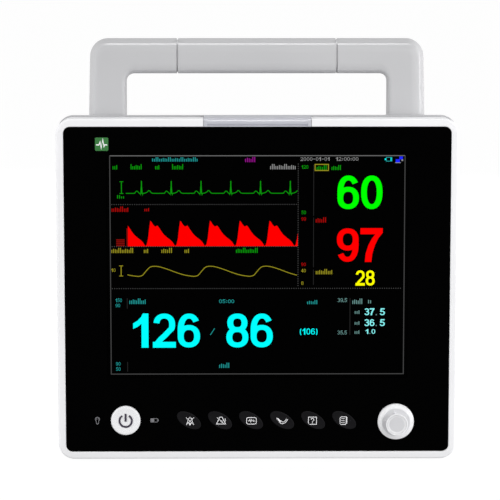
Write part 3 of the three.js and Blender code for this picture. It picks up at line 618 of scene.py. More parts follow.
# Each figure has its width, its closed lines, its open lines and its filled outlines.
FIGURES = {
    "0": (66, [oval(33, 50, 23.4, 42.3)], [], []),
    "1": (56, [], [], [[
        (48, 0), (48, 100), (32, 100), (27, 90), (17, 79), (4, 71), (4, 55), (17, 61), (28, 70), (28, 0),
    ]]),
    "2": (66, [], [
        oval(33, 67.5, 22.6, 24.9, -28, 172)[::-1] + [(47, 49), (36, 37), (23, 25), (12.5, 12)],
    ], [slab(0, 66, 0, 17)]),
    "3": (66, [], [
        oval(32, 73, 21, 19.4, -70, 165)[::-1] + [(27, 53)],
        [(27, 53)] + oval(33, 30.4, 23.6, 22.8, -168, 70)[::-1],
    ], []),
    "4": (68, [], [[(38, 96), (6, 34)]], [slab(0, 68, 23, 39), slab(37, 55, 0, 100)]),
    "5": (66, [], [oval(32, 32.6, 24.4, 25, -165, 138)[::-1], [(19, 92), (13, 48)]], [slab(13, 61, 83, 100)]),
    "6": (66, [SIX_BOWL], [SIX_SPINE], []),
    "7": (66, [], [], [[
        (0, 100), (0, 82), (44, 82), (34, 69), (24, 50), (16, 25), (13.5, 0), (33, 0), (35.5, 24), (43, 49),
        (53, 70), (66, 86), (66, 100),
    ]]),
    "8": (66, [oval(33, 72.3, 20.6, 20), oval(33, 30.2, 23.4, 22.6)], [], []),
    "9": (66, [turned_over(SIX_BOWL)], [turned_over(SIX_SPINE)], []),
    ".": (24, [], [], [slab(2, 20, 0, 18)]),
    ":": (40, [], [], [slab(11, 29, 12, 30), slab(11, 29, 56, 74)]),
    "-": (60, [], [], [slab(8, 52, 42, 56)]),
    "(": (34, [], [oval(40, 44, 30, 56, 122, 238)], []),
    ")": (34, [], [oval(-6, 44, 30, 56, -58, 58)], []),
}


def figure_shapes(sign, weight):
    _, closed, opened, filled = FIGURES[sign]
    pen = (PEN[0] * weight, PEN[1] * weight)
    shapes = [quad for path in closed for quad in stroke(path, pen, True)]
    shapes += [quad for path in opened for quad in stroke(path, pen)]
    return shapes + filled


class Ink:
    """Thin closed slabs of one colour that lie in the x-z plane, gathered into one piece.

    Points are counted from an origin, along x and up z. Their height is multiplied by rise.
    """

    def __init__(self, front, back, x=0, z=0, rise=1):
        self.depths = (front, back)
        self.x, self.z, self.rise = x, z, rise
        self.points = []
        self.faces = []

    def move(self, points):
        return [(self.x + u, self.z + self.rise * v) for u, v in points]

    def add(self, points):
        base, count = len(self.points), len(points)
        for y in self.depths:
            self.points += ring(points, y)
        self.faces.append(tuple(base + i for i in range(count)))
        self.faces.append(tuple(base + count + i for i in reversed(range(count))))
        for i in range(count):
            j = (i + 1) % count
            self.faces.append((base + i, base + count + i, base + count + j, base + j))

    def fill(self, points):
        self.add(self.move(points))

    def bar(self, x0, x1, z0, z1):
        self.fill(slab(x0, x1, z0, z1))

    def line(self, points, width, closed=False):
        for quad in stroke(self.move(points), (width, width), closed):
            self.add(quad)

    def figures(self, text, x0, wide, z0, high, weight):
        """Numerals set in a row that fills a box, which starts at their feet."""
        shapes = []
        pen_x = 0
        for sign in text:
            shapes += [[(pen_x + u, v) for u, v in shape] for shape in figure_shapes(sign, weight)]
            pen_x += FIGURES[sign][0] + FIGURE_GAP
        left = min(u for shape in shapes for u, _ in shape)
        right = max(u for shape in shapes for u, _ in shape)
        along, up = wide / (right - left), high / FIGURE_HEIGHT
        for shape in shapes:
            self.fill([(x0 + (u - left) * along, z0 + v * up) for u, v in shape])

    def piece(self, name, material, body="casing"):
        show(mesh_object(name, self.points, self.faces), material, body)


# ---- controls ----


def make_power_button():
    low, high = box_of("power_button")
    x, face = (low.x + high.x) / 2, low.y
    cap = [
        (0, 0.75), (3, 0.7), (6, 0.55), (8.6, 0.3), (10.2, 0.06), (11, 0), (11.7, 0.15), (12.2, 0.5),
        (12.4, 1),
    ]
    base = [(12.4, 3.7), (13.8, 3.7), (13.8, 4.9), (2.5, 4.9), (2.5, high.y), (0, high.y)]
    button = turned("power_cap", deeper(face, cap) + base, "y", (x, 0, CONTROL_Z), 96)
    finish(button, WHITE, "power_button", body="power_switch")
    sign = Ink(face + 0.2, face + 0.85, x, CONTROL_Z)
    sign.line(arc(0, -0.2, 5.2, 5.2, 124, 416, 40), 1.55)
    sign.bar(-0.8, 0.8, -0.9, 5.9)
    sign.piece("power_sign", PRINT_VIOLET, "power_switch")


def silence_sign(ink):
    """A crossed bell."""
    side = [(2.7, -2.0), (2.0, -1.2), (1.8, 0.6), (1.4, 1.8), (0.7, 2.5)]
    ink.line([(-u, v) for u, v in side] + side[::-1], 0.45, True)
    ink.fill(circle(0, -3.0, 0.75, 16))
    ink.bar(-0.25, 0.25, 2.5, 3.3)
    for way in (-3.3, 3.3):
        ink.line([(way, 2.9), (-way, -3.4)], 0.42)


def pause_sign(ink):
    """A crossed triangle beside a short bar."""
    ink.line([(-3.8, -2.7), (3.9, -2.7), (1.0, 3.2), (-0.9, 3.2)], 0.5, True)
    ink.line([(-3.3, 2.8), (2.4, -2.2)], 0.42)
    ink.fill(circle(0.5, -0.4, 0.8, 14))
    ink.bar(3.3, 3.8, -0.8, 2.0)


def freeze_sign(ink):
    """A wave held in a frame."""
    ink.line(outline(-4.1, 4.1, -2.8, 2.8, 1.5, 5), 0.5, True)
    ink.line([(-3, 0), (-1.8, 0), (-1.2, 1.3), (-0.6, -1.2), (0.1, 1.0), (0.7, 0), (3, 0)], 0.42)
    ink.fill([(1.7, -1.1), (3, 0), (1.7, 1.1)])


def cuff_sign(ink):
    """A bent arm with a cuff round it."""
    ink.line([(-4.6, 2.4), (-3.4, 0.0), (-1.8, -1.8), (0.2, -2.6), (2.4, -1.9), (4.2, 0.2), (4.7, 1.4)], 0.5)
    ink.line([(-1.4, 0.4), (0.6, -1.2), (2.2, -0.5), (3.6, 1.6)], 0.42)
    ink.fill([(-4.7, 1.6), (-3.7, 2.4), (-0.9, -0.2), (-1.9, -1.7), (-3.2, -0.7)])


def help_sign(ink):
    """A hooked mark over a dot, in a frame."""
    ink.line(slab(-3.4, 3.4, -3.1, 3.1), 0.5, True)
    ink.line(arc(0, 0.8, 1.2, 1.2, 175, -60, 12), 0.5)
    ink.bar(-0.25, 0.25, -1.2, -0.2)
    ink.fill(circle(0, -2, 0.4, 12))


def record_sign(ink):
    """A page with three lines."""
    ink.line([(-2.6, -3.3), (1.7, -3.3), (2.5, -2.5), (2.7, 3.3), (-1.6, 3.3), (-2.6, 2.3)], 0.5, True)
    for height in (-1.7, 0.0, 1.7):
        ink.bar(-1.6, 1.3, height - 0.2, height + 0.2)
    ink.bar(3.0, 3.4, -2.4, 3.2)


# Each key's sign, and how far right of the key's middle it stands.
KEY_SIGNS = (
    (silence_sign, 0.9), (pause_sign, 0.8), (freeze_sign, 0.3),
    (cuff_sign, 0), (help_sign, -0.6), (record_sign, -0.9),
)


def make_keys():
    for i, (node, (sign, shift)) in enumerate(zip(KEYS, KEY_SIGNS)):
        body = "key_" + str(i + 1)
        face, back = box_of(node)[0].y, box_of(node)[1].y
        crown = [(-3.5, 0.22), (-1.7, 0.08), (-0.9, 0), (-0.45, 0.06), (-0.12, 0.25), (0, 0.6)]
        shape = deeper(face, crown) + [(0, 3.6), (1.2, 3.6), (1.2, back)]
        key = loft(node + "_cap", [ring(key_outline(node, grow), y) for grow, y in shape])
        finish(key, KEY_BLACK, node, body=body)
        ink = Ink(face + 0.05, face + 0.4, middle_of(node).x + shift, CONTROL_Z - 0.4)
        sign(ink)
        ink.piece(node + "_sign", PRINT_WHITE, body)


def make_knob():
    """A sloping skirt with a step and a round rim, a waist with hollow flutes, and a dished finger rest."""
    middle = middle_of("control_knob")
    front = box_of("control_knob")[0].y
    centre = (middle.x, 0, middle.z)
    body = [
        (0.01, 3.0), (7.9, 3.0), (8.05, 2.9), (8.05, 0.35), (8.25, 0.1), (8.5, 0), (8.8, 0.02), (9.05, 0.15),
        (9.2, 0.45), (9.15, 0.85), (8.9, 1.1), (5.2, 1.2), (5.2, 10.8), (12.0, 10.85), (12.3, 10.95),
        (12.7, 11.2), (12.85, 11.5), (13.1, 11.55), (14.0, 12.1), (14.7, 12.7), (15.05, 13.3), (15.25, 14),
        (15.3, 14.8),
    ]
    foot = [
        (15.25, -1.5), (15.0, -1.25), (14.4, -1.2), (6, -1.2), (SHAFT_BORE, -1.3), (SHAFT_BORE, -12.9),
        (0.01, -12.9),
    ]
    knob = turned("dial_knob", deeper(front, body) + foot, "y", centre, KNOB_STEPS)
    finish(knob, KNOB_WHITE, "control_knob", body="knob")

    waist = [
        (1.0, 4.8, 0), (1.0, 8.9, 0.5), (1.5, 8.8, 1.1), (2.2, 8.6, 1.9), (3.5, 8.5, 2.6), (6, 8.6, 3.0),
        (8.5, 8.9, 3.0), (9.8, 9.5, 2.8), (10.3, 10.2, 2.3), (10.6, 11.0, 1.4), (10.83, 11.9, 0.4),
        (11.0, 4.8, 0),
    ]
    rings = []
    for y, radius, depth in waist:
        spots = []
        for i in range(KNOB_STEPS):
            turn = 2 * math.pi * i / KNOB_STEPS
            hollow = abs(math.sin(KNOB_FLUTES * (turn - KNOB_FIRST_RIDGE) / 2)) ** 0.5
            r = radius - depth * hollow
            spots.append((middle.x + r * math.cos(turn), front + y, middle.z + r * math.sin(turn)))
        rings.append(spots)
    # The waist is drawn in the darker plastic above, as painted shade in its flutes.
    finish(loft("knob_waist_painted_shade", rings), KNOB_WAIST_PAINTED_SHADE, body="knob")

    dish = [
        (0, 2.1), (2, 2.0), (4, 1.7), (6, 1.15), (7.2, 0.65), (7.7, 0.42), (7.9, 0.4), (7.95, 0.5),
        (7.95, 2.85), (0, 2.85),
    ]
    # The finger rest takes the greyer plastic above, as painted shade in its dish.
    rest = turned("finger_rest", deeper(front, dish), "y", centre, 72)
    finish(rest, KNOB_REST_PAINTED_SHADE, body="knob")


def make_panel_marks():
    """The small mains and battery signs beside the power button, and a plain badge over the picture."""
    marks = Ink(PANEL_FACE - 0.04, PANEL_FACE + 0.02, MAINS_SIGN_X, CONTROL_Z)
    marks.line(arc(0, 1.0, 1.75, 1.75, -50, 230, 16), 0.5)
    marks.line([(-1.1, -0.3), (-0.8, -2.9), (0.8, -2.9), (1.1, -0.3)], 0.45)
    marks.bar(-0.9, -0.45, 0.6, 2.0)
    marks.bar(0.45, 0.9, 0.6, 2.0)
    marks.bar(-0.25, 0.25, -3.6, -2.9)
    marks.x = BATTERY_SIGN_X
    marks.line(outline(-3.2, 2.6, -1.5, 1.5, 0.4, 3), 0.4, True)
    marks.bar(-2.9, -0.2, -1.2, 1.2)
    marks.bar(2.7, 3.5, -0.7, 0.7)
    marks.piece("panel_signs", PRINT_GREY)

    right, top = BADGE_LEFT + BADGE_SIZE, BADGE_BOTTOM + BADGE_SIZE
    plate = prism("badge_plate", outline(BADGE_LEFT, right, BADGE_BOTTOM, top, 1.1, 6), -0.15, 0.3)
    finish(plate, BADGE_GREEN, edge=0.12)
    pulse = Ink(-0.2, -0.1, BADGE_LEFT, BADGE_BOTTOM, BADGE_SIZE)
    wave = [
        (0.9, 0.45), (3.3, 0.45), (4.3, 0.66), (5.2, 0.2), (6.5, 0.86), (7.5, 0.34), (8.1, 0.45),
        (10.2, 0.45),
    ]
    pulse.line(wave, 0.9)
    pulse.piece("badge_pulse", PRINT_WHITE)


# ---- the lit picture ----

# Distances inside the picture are in millimetres right of its left edge and down from its top edge.
INK_COLORS = {
    "frame_grey": (104, 104, 104),
    "dot_grey": (66, 66, 66),
    "dark_grey": (36, 36, 36),
    "text_grey": (140, 140, 140),
    "green": (0, 255, 0),
    "dim_green": (14, 150, 14),
    "red": (255, 0, 0),
    "dim_red": (170, 12, 10),
    "dark_red": (126, 14, 10),
    "yellow": (255, 255, 0),
    "olive": (150, 142, 34),
    "cyan": (0, 255, 255),
    "dim_cyan": (34, 148, 146),
    "grey_cyan": (104, 146, 142),
    "pale_cyan": (139, 247, 247),
    "violet": (150, 22, 140),
    "blue": (30, 40, 255),
}
inks = {}
for name in INK_COLORS:
    front = PICTURE_PLANE - INK_LAYER * (len(inks) + 1)
    inks[name] = Ink(front, PICTURE_PLANE + 0.05, PICTURE_LEFT, PICTURE_TOP, -PICTURE_SCALE)

# Numerals by colour: what they say, left edge, width, top, height, and the weight of their strokes.
NUMERALS = {
    "text_grey": [("2000-01-01", 158.6, 24.3, 1.2, 3.1, 0.6), ("12:00:00", 188.1, 18.8, 1.2, 3.1, 0.6)],
    "dim_green": [("120", 159.6, 5.6, 7.9, 3, 0.7), ("50", 159.6, 3.8, 46.2, 3, 0.7)],
    "dim_red": [("99", 159.6, 3.8, 51.7, 3, 0.7), ("90", 159.6, 3.8, 90.1, 3, 0.7)],
    "olive": [
        ("10", 0.6, 3.6, 94.9, 2.9, 0.6), ("40", 159.6, 3.8, 95.4, 3, 0.7), ("8", 159.6, 1.9, 106, 3, 0.7),
    ],
    "green": [("60", 189.6, 37.6, 16.5, 28.6, 1)],
    "red": [("97", 189.3, 38.3, 61, 28.6, 1)],
    "yellow": [("28", 205.1, 16.1, 96.7, 13, 1)],
    "cyan": [
        ("126", 18.6, 56.2, 133.2, 29.2, 1), ("86", 96.8, 39.1, 133.2, 29.2, 1),
        ("(106)", 158.6, 14.8, 146, 5.4, 0.8),
    ],
    "dim_cyan": [
        ("150", 4, 5.4, 120.4, 3.1, 0.7), ("90", 4, 3.8, 124.8, 3.1, 0.7), ("90", 4, 3.8, 174.6, 3.1, 0.7),
        ("50", 4, 3.8, 179.1, 3.1, 0.7), ("05:00", 90.8, 12.6, 121.3, 3.2, 0.7),
    ],
    "grey_cyan": [("39.5", 190.2, 7.8, 120.4, 3.3, 0.7), ("35.5", 190.2, 7.8, 148, 3.3, 0.7)],
    "pale_cyan": [
        ("37", 212.8, 8.4, 129, 5.9, 0.95), ("5", 225.6, 4.3, 129, 5.9, 0.95),
        ("36", 212.8, 8.4, 138.3, 5.9, 0.95), ("5", 225.6, 4.3, 138.3, 5.9, 0.95),
        ("1", 213.8, 2.3, 146.8, 4, 0.8), ("0", 218.8, 3.1, 146.8, 4, 0.8),
    ],
}
# Captions by colour: left edge, right edge, top and height.
CAPTIONS = {
    "dim_cyan": [
        (35.3, 73.8, 1.2, 3.6), (15.6, 29.9, 120.4, 4.7), (164.6, 173.9, 122, 3.4), (90.8, 100, 175.4, 4.4),
    ],
    "violet": [(112.6, 121.8, 0.9, 4.4)],
    "dim_green": [
        (6, 12.6, 33, 2.8), (2.4, 7, 7, 4.4), (17.4, 27.2, 7, 4.4), (37.8, 41.8, 7, 4.4),
        (51.9, 61.7, 7, 4.4), (105, 123.8, 77.5, 4.3), (172.2, 181.2, 7.9, 4.1), (184.6, 193, 7.9, 4.1),
    ],
    "text_grey": [(133.5, 155.4, 7, 4.4)],
    "dim_red": [(1.3, 15.9, 42.6, 4.4), (28.7, 33.3, 43.2, 3.4), (171.6, 181, 51.8, 4.4)],
    "olive": [
        (0.9, 19.7, 77.5, 4.3), (28, 32.2, 77.5, 4.3), (42.7, 52.3, 77.5, 4.3), (62, 66.4, 77.5, 4.3),
        (171.8, 186.2, 95.6, 4.4),
    ],
    "grey_cyan": [
        (202.6, 211.6, 120.7, 4.6), (215.8, 219.2, 121.2, 3.6), (204.6, 209.4, 130.1, 3.6),
        (204.6, 209.4, 139.4, 3.6), (204.6, 209.4, 147.2, 3.6),
    ],
}
# Bars by colour: left edge, right edge, top and bottom.
BARS = {
    "dark_grey": [
        (169.5, 170.1, 7.5, 50.5), (169.5, 170.1, 52, 94), (169.5, 170.1, 96, 109), (13.5, 14.1, 120.2, 129),
        (13.5, 14.1, 174.6, 182.8), (200.3, 200.9, 120.4, 151.6),
    ],
    "cyan": [(228.9, 230.1, 2.3, 3.7), (233.7, 235.0, 1.4, 4.6)],
    "blue": [(241, 243.9, 0.7, 3.1), (238, 241.4, 3.0, 5.6)],
    "text_grey": [(237.6, 242.2, 5.6, 6.2), (242.8, 244.2, 3.1, 4.5)],
    "grey_cyan": [(222.3, 223.1, 134, 134.9), (222.3, 223.1, 143.3, 144.2), (217.1, 217.8, 150.1, 150.8)],
}


def draw_caption(ink, x0, x1, top, height):
    """A caption too small to read, as a row of ticks of changing height that spell nothing."""
    pitch, tick = 1.5, 0.72
    count = max(2, round((x1 - x0) / pitch))
    pitch = (x1 - x0) / count
    for i in range(count):
        left = x0 + i * pitch
        rise = (1.0, 0.62, 0.8, 0.62, 1.0, 0.72, 0.62)[(i * 3 + count) % 7]
        ink.bar(left, left + tick, top + height * (1 - rise), top + height)


def draw_dots(start, end, pitch=1.9, size=0.75):
    (x0, y0), (x1, y1) = start, end
    length = math.hypot(x1 - x0, y1 - y0)
    for i in range(int(length / pitch) + 1):
        share = i * pitch / length
        x, y = x0 + (x1 - x0) * share, y0 + (y1 - y0) * share
        inks["dot_grey"].bar(x - size / 2, x + size / 2, y - size / 2, y + size / 2)


def draw_gauge(ink, x, top, bottom, half=1.6):
    """An upright bar between two short level ones, which shows a wave's scale."""
    ink.bar(x - 0.35, x + 0.35, top, bottom)
    ink.bar(x - half, x + half, top, top + 0.6)
    ink.bar(x - half, x + half, bottom - 0.6, bottom)


def repeat(shape, first, period, left, right, base):
    """A wave of [along, up] points drawn again and again, cut to a span, as picture points."""
    points = []
    start = first - period
    while start < right:
        points += [(start + u, base - v) for u, v in shape]
        start += period
    kept = []
    for (x0, y0), (x1, y1) in zip(points, points[1:]):
        if x1 < left or x0 > right or x1 <= x0:
            continue
        for edge in (left, right):
            if x0 < edge < x1:
                kept.append((edge, y0 + (y1 - y0) * (edge - x0) / (x1 - x0)))
        if left <= x0 <= right:
            kept.append((x0, y0))
    return sorted(set(kept))


def smooth_wave(shape, steps=4):
    """The same wave through more points, by a Catmull-Rom curve."""
    def between(p, q, r, s, t):
        square, cube = 2 * p - 5 * q + 4 * r - s, 3 * q - p - 3 * r + s
        return 0.5 * (2 * q + (r - p) * t + square * t ** 2 + cube * t ** 3)

    ends = [shape[0], *shape, shape[-1]]
    points = []
    for corners in zip(ends, ends[1:], ends[2:], ends[3:]):
        points += [tuple(between(*four, i / steps) for four in zip(*corners)) for i in range(steps)]
    return points + [shape[-1]]


def draw_frame():
    right, bottom = PICTURE_WIDTH, PICTURE_HEIGHT
    inks["dot_grey"].line([(0, 0), (0, bottom), (right, bottom), (right, 0)], 0.8)
    inks["frame_grey"].line([(0, 0), (right, 0)], 0.75)
    draw_dots((1.5, 40.9), (155.5, 40.9))
    draw_dots((1.5, 76.4), (155.5, 76.4))
    draw_dots((1.5, 112), (244.5, 112))
    draw_dots((156.9, 7), (156.9, 111))
    inks["dim_cyan"].line(slab(230.2, 234.6, 1.4, 4.6), 0.6, True)
    inks["olive"].line(slab(170.9, 182, 7.3, 12.4), 0.75, True)
    inks["dim_cyan"].line([(83.4, 151.6), (87, 146)], 0.6)


def draw_heart_trace():
    ink = inks["dim_green"]
    base, first_beat, period, peak = 31.5, 18.4, 24.8, 7.9
    beat = [
        (0, 0), (2.2, 0.05), (3.4, 1.7), (4.1, 1.9), (4.8, 1.5), (6.0, 0.1), (6.6, 0), (7.0, -1.0),
        (peak, 10.3), (8.7, -1.2), (9.2, 0), (10.8, 0.2), (12.6, 1.0), (13.8, 2.3), (14.8, 2.1),
        (16.2, 0.3), (17.5, 0), (24.7, 0),
    ]
    ink.line(repeat(beat, first_beat, period, 13.3, 156.4, base), 0.62)
    for i in range(6):
        x = first_beat + peak + i * period
        ink.bar(x - 0.42, x + 0.42, 21.2, base + 0.4)
    draw_gauge(ink, 9.6, 21.4, 31.9)


def draw_pulse_wave():
    base = 76
    beat = [
        (0, 0), (1.2, 1.2), (2.4, 6.5), (3.4, 15), (4.3, 21.4), (5.3, 20.4), (6.6, 18.2), (8.2, 16.5),
        (9.1, 16.7), (10.2, 17.4), (11.2, 16.2), (13.8, 12.1), (15.7, 9.6), (18.4, 7.2), (20.9, 5.3),
        (22.8, 3.4), (24.2, 1.1), (24.9, 0),
    ]
    top = repeat(beat, 29.2, 24.9, 14.8, 156.6, base)
    for (x0, y0), (x1, y1) in zip(top, top[1:]):
        inks["red"].fill([(x0, base + 0.1), (x1, base + 0.1), (x1, y1), (x0, y0)])
    inks["dark_red"].bar(13.6, 14.8, 61, base)
    for i in range(4):
        inks["dark_red"].bar(5.0, 12, 70.2 + i * 1.55, 71.3 + i * 1.55)


def draw_breath_wave():
    breath = smooth_wave([
        (0, 0), (3.4, 0.9), (6.4, 4.4), (9.6, 7.7), (13, 8.6), (18, 8.1), (25, 5.9), (33, 2.9), (40, 0.9),
        (46.5, 0),
    ])
    inks["olive"].line(repeat(breath, 23.2, 46.6, 14.2, 156, 101.7), 0.62)
    draw_gauge(inks["olive"], 8.9, 92.4, 101.6)


def make_picture():
    draw_frame()
    draw_heart_trace()
    draw_pulse_wave()
    draw_breath_wave()
    for color, rows in NUMERALS.items():
        for text, left, width, top, height, weight in rows:
            inks[color].figures(text, left, width, top + height, -height, weight)
    for draw, table in ((draw_caption, CAPTIONS), (Ink.bar, BARS)):
        for color, rows in table.items():
            for row in rows:
                draw(inks[color], *row)
    for name, ink in inks.items():
        ink.piece("picture_" + name, glowing("glow_" + name, linear(*INK_COLORS[name])))


# ---- carrying handle ----

# The front half of the handle's depth: how far back, and there how far its outer side, underside and
# inner side draw in.
HALF_SECTION = [
    (0, 12.6, 9.5, 3.4), (0.12, 10.6, 7.6, 2.4), (0.4, 8.6, 6.0, 1.6), (0.85, 6.9, 4.6, 1.0),
    (1.25, 5.9, 3.65, 0.66), (1.6, 5.3, 3.05, 0.48), (1.68, 5.22, 2.98, 0.46), (2.9, 4.0, 1.9, 0.16),
    (2.98, 3.94, 1.85, 0.15), (4.2, 3.58, 1.25, 0.04), (6.8, 2.78, 0.5, 0), (9.6, 1.88, 0.12, 0),
    (13, 0.82, 0, 0), (15.4, 0.16, 0, 0), (17, 0, 0, 0),
]


def handle_section():
    back = [(HANDLE_DEPTH - depth, *insets) for depth, *insets in reversed(HALF_SECTION[:-1])]
    return [(HANDLE_FRONT + depth, *insets) for depth, *insets in HALF_SECTION + back]


def casing_top(y):
    """Height of the casing's top from its crest to its shoulder, where the handle stands."""
    return CREST_Z - (CREST_Z - SHOULDER_Z) * (y - CREST_Y) / (SHOULDER_Y - CREST_Y)


def seam_setback(depth):
    """How far a piece's edge at a seam is rounded away, from the handle's front to this depth."""
    if depth >= SEAM_ROUND:
        return 0
    return SEAM_ROUND - math.sqrt(SEAM_ROUND ** 2 - (SEAM_ROUND - depth) ** 2)


def arm_ring(y, outer_inset, under_inset, inner_inset, side):
    """One loop round an arm and its half of the bar: up the outside, over the bend and back under it."""
    foot = casing_top(y) + 0.1
    outer_x, inner_x = HANDLE_OUTER - outer_inset, HANDLE_INNER + inner_inset
    top, under = BAR_TOP - outer_inset, BAR_BOTTOM + under_inset
    outer_r = OUTER_BEND - outer_inset
    bend_x, bend_z = HANDLE_INNER - INNER_BEND, BAR_BOTTOM - INNER_BEND
    seam = HANDLE_SEAM + seam_setback(y - HANDLE_FRONT)
    line = [(outer_x + HANDLE_DRAFT, foot)]
    line += arc(outer_x - outer_r, top - outer_r, outer_r, outer_r, 0, 90, 18)
    line += [(seam, top), (seam, under)]
    line += arc(bend_x, bend_z, INNER_BEND + inner_inset, INNER_BEND + under_inset, 90, 0, 12)
    line += [(inner_x, foot + 1.2), (inner_x - 0.4, foot)]
    return [(side * x, y, z) for x, z in line]


def make_handle():
    for name, side in (("left", -1), ("right", 1)):
        arm = loft("arm_" + name, [arm_ring(*station, side) for station in handle_section()])
        finish(arm, GREY, "handle_arm_" + name)
    rings = []
    for y, outer, under, _ in handle_section():
        half = HANDLE_SEAM - SEAM_WIDTH - seam_setback(y - HANDLE_FRONT)
        rings.append(ring(slab(-half, half, BAR_BOTTOM + under, BAR_TOP - outer), y))
    finish(loft("grip_bar", rings), GREY, "handle_grip")
    back = HANDLE_FRONT + HANDLE_DEPTH
    collar_line = outline(
        HANDLE_FRONT + SEAM_DEPTH, back - SEAM_DEPTH, BAR_BOTTOM + SEAM_DEPTH, BAR_TOP - SEAM_DEPTH, 7.5, 8,
    )
    for side in (-1, 1):
        inner, outer = side * (HANDLE_SEAM - SEAM_WIDTH + 0.1), side * (HANDLE_SEAM - 0.1)
        finish(side_prism("seam_collar", collar_line, inner, outer), GREY)


# ---- rear casing ----

# Loops of the rear shell from front to back: y, half width, bottom, top and corner radius.
REAR_STATIONS = [
    (BEZEL_BACK + 0.1, 167.9, REAR_BOTTOM, CASE_TOP - 0.1, 13.4),
    (CREST_Y, 168, REAR_BOTTOM, CREST_Z, 13.5),
    (SHOULDER_Y, 166.4, REAR_BOTTOM, SHOULDER_Z, 13.5),
    (SHOULDER_Y + 3.5, HUMP_HALF, REAR_BOTTOM, 276, 15),
    (136, HUMP_HALF, REAR_BOTTOM, 271, 17),
    (142.5, 152.5, REAR_BOTTOM + 3.5, 267, 18),
    (BODY_BACK, 147, REAR_BOTTOM + 8, 261, 18),
]
BEND_REACH = [3.5, 2.6, 2.2, 3, 2.6]


def rear_ring(station, inset=0, steps=12):
    y, half, bottom, top, radius = station
    return ring(outline(inset - half, half - inset, bottom + inset, top - inset, radius - inset, steps), y)


def rear_hollow():
    """The space inside the shell, a wall's thickness in from each of its faces."""
    backs = {
        0: REAR_STATIONS[0][0] - 1, 2: SHOULDER_Y - WALL, 3: SHOULDER_Y + 3.5 - WALL, 5: BODY_BACK - WALL,
    }
    stations = [(backs.get(i, y), *rest) for i, (y, *rest) in enumerate(REAR_STATIONS[:-1])]
    return loft("hollow", [rear_ring(station, WALL, 6) for station in stations])


def vent_slots():
    """Upright slots at the back, level ones before the speaker, and a column of them in the right side."""
    slots = []
    for left in range(-112, -4, 9):
        slots.append(prism("slot", outline(left, left + 3.4, 206, 242, 1.6, 5), 140, 150))
    for low in range(208, 250, 7):
        slots.append(prism("slot", outline(62, 118, low, low + 2.6, 1.2, 5), 140, 150))
    for low in range(168, 232, 8):
        slots.append(side_prism("slot", outline(82, 126, low, low + 3, 1.4, 5), 150, 162))
    return slots


def bay_block(name, grow, y0, y1):
    """A block as wide and high as the rear connector bay, or larger all round."""
    return block(name, BAY_LEFT - grow, BAY_RIGHT + grow, y0, y1, BAY_BOTTOM - grow, BAY_TOP + grow)


def make_rear_casing():
    shell = loft("rear_shell", [rear_ring(s) for s in bend_path(REAR_STATIONS, BEND_REACH)])
    cut(shell, rear_hollow())

    hinge = middle_of("door_hinge_pin")
    hinge_spot = (hinge.x, hinge.y, 0)
    lugs = [rod("lug", 2.4, low, high, "z", hinge_spot) for low, high in ((34.6, 40.3), (127.7, 133.4))]
    pad_line = slab(-62, 62, 74, 132)
    pad = loft("pad", [[(x, y, z) for x, y in pad_line] for z in (REAR_BOTTOM - 1.4, REAR_BOTTOM + 1)])
    join(shell, bay_block("bay_frame", 2.5, BAY_PLATE - 2.5, 143), pad, *lugs)

    door_low, door_high = box_of("battery_door")[0].z - 0.4, box_of("battery_door")[1].z + 0.4
    port_low, port_high = box_of("patient_port_panel")
    port_hole = block(
        "port_hole", -170, -145, port_low.y - GAP, port_high.y + GAP, port_low.z - GAP, port_high.z + GAP,
    )
    door_hole = block("door_hole", 150, 165, 78, 134, door_low, door_high)
    barrel_room = rod("barrel_room", 2.7, door_low, door_high, "z", hinge_spot)
    pad_holes = [rod("hole", 2, -4, 2.6, "z", (x, y, REAR_BOTTOM), 24) for x in (-50, 50) for y in (86, 120)]
    well = [(0, 20), (2.1, 20), (2.1, 69.2), (3.6, 69.2), (3.6, 74), (0, 74)]
    screw_wells = [turned("well", well, "y", (x, 0, z), 32) for x, z in SCREW_SPOTS]
    bay = bay_block("bay", 0, BAY_PLATE, 150)
    bay_hole = bay_block("bay_hole", -2, BAY_PLATE - 5, BAY_PLATE + 1)
    cut(shell, bay, port_hole, door_hole, lamp_notch(), *pad_holes, *vent_slots())
    cut(shell, bay_hole, barrel_room, *screw_wells)
    finish(shell, GREY, "rear_casing", edge=0.3, angle=38)


# ---- sockets, screws and feet ----

# Each round socket: its finish, radii of barrel, flange and mouth, depth, and contacts as [radius, count].
SOCKETS = {
    "spo2_socket": (BLUE, 10, 12, 8.2, 12, [(0, 1), (4.6, 8)]),
    "ecg_socket": (GREEN, 12, 14, 9.6, 13, [(2.2, 3), (6, 9)]),
    "temp_socket_1": (DARK, 7, 8.6, 3.4, 12, [(1.6, 2)]),
    "temp_socket_2": (DARK, 7, 8.6, 3.4, 12, [(1.6, 2)]),
}
CUFF_BARREL = 7


def make_socket(node, material, barrel, flange, mouth, depth, pins):
    """A round socket with a rolled flange, a chamfered mouth, and contacts at the bottom of it."""
    z = middle_of(node).z
    face = PORTS_FACE - GAP
    front = face - 2.2
    floor = front + depth
    profile = [
        (0, floor), (mouth, floor), (mouth, front + 0.7), (mouth + 0.3, front + 0.15), (mouth + 0.7, front),
        (flange - 1.0, front), (flange - 0.4, front + 0.15), (flange - 0.08, front + 0.5),
        (flange, front + 0.9), (flange, face), (barrel, face), (barrel, face + depth), (0, face + depth),
    ]
    body = turned(node + "_body", profile, "x", (0, PORTS_Y, z))
    finish(body, material, node)
    tip = floor - 5
    pin = [(0, tip), (0.35, tip + 0.1), (0.55, tip + 0.5), (0.55, floor + 0.2), (0, floor + 0.2)]
    contacts = []
    for radius, count in pins:
        for i in range(count):
            turn = 2 * math.pi * i / count + 0.4
            spot = (0, PORTS_Y + radius * math.cos(turn), z + radius * math.sin(turn))
            contacts.append(turned("contact", pin, "x", spot, 16))
    finish(merge(node + "_contacts", contacts), GOLD)


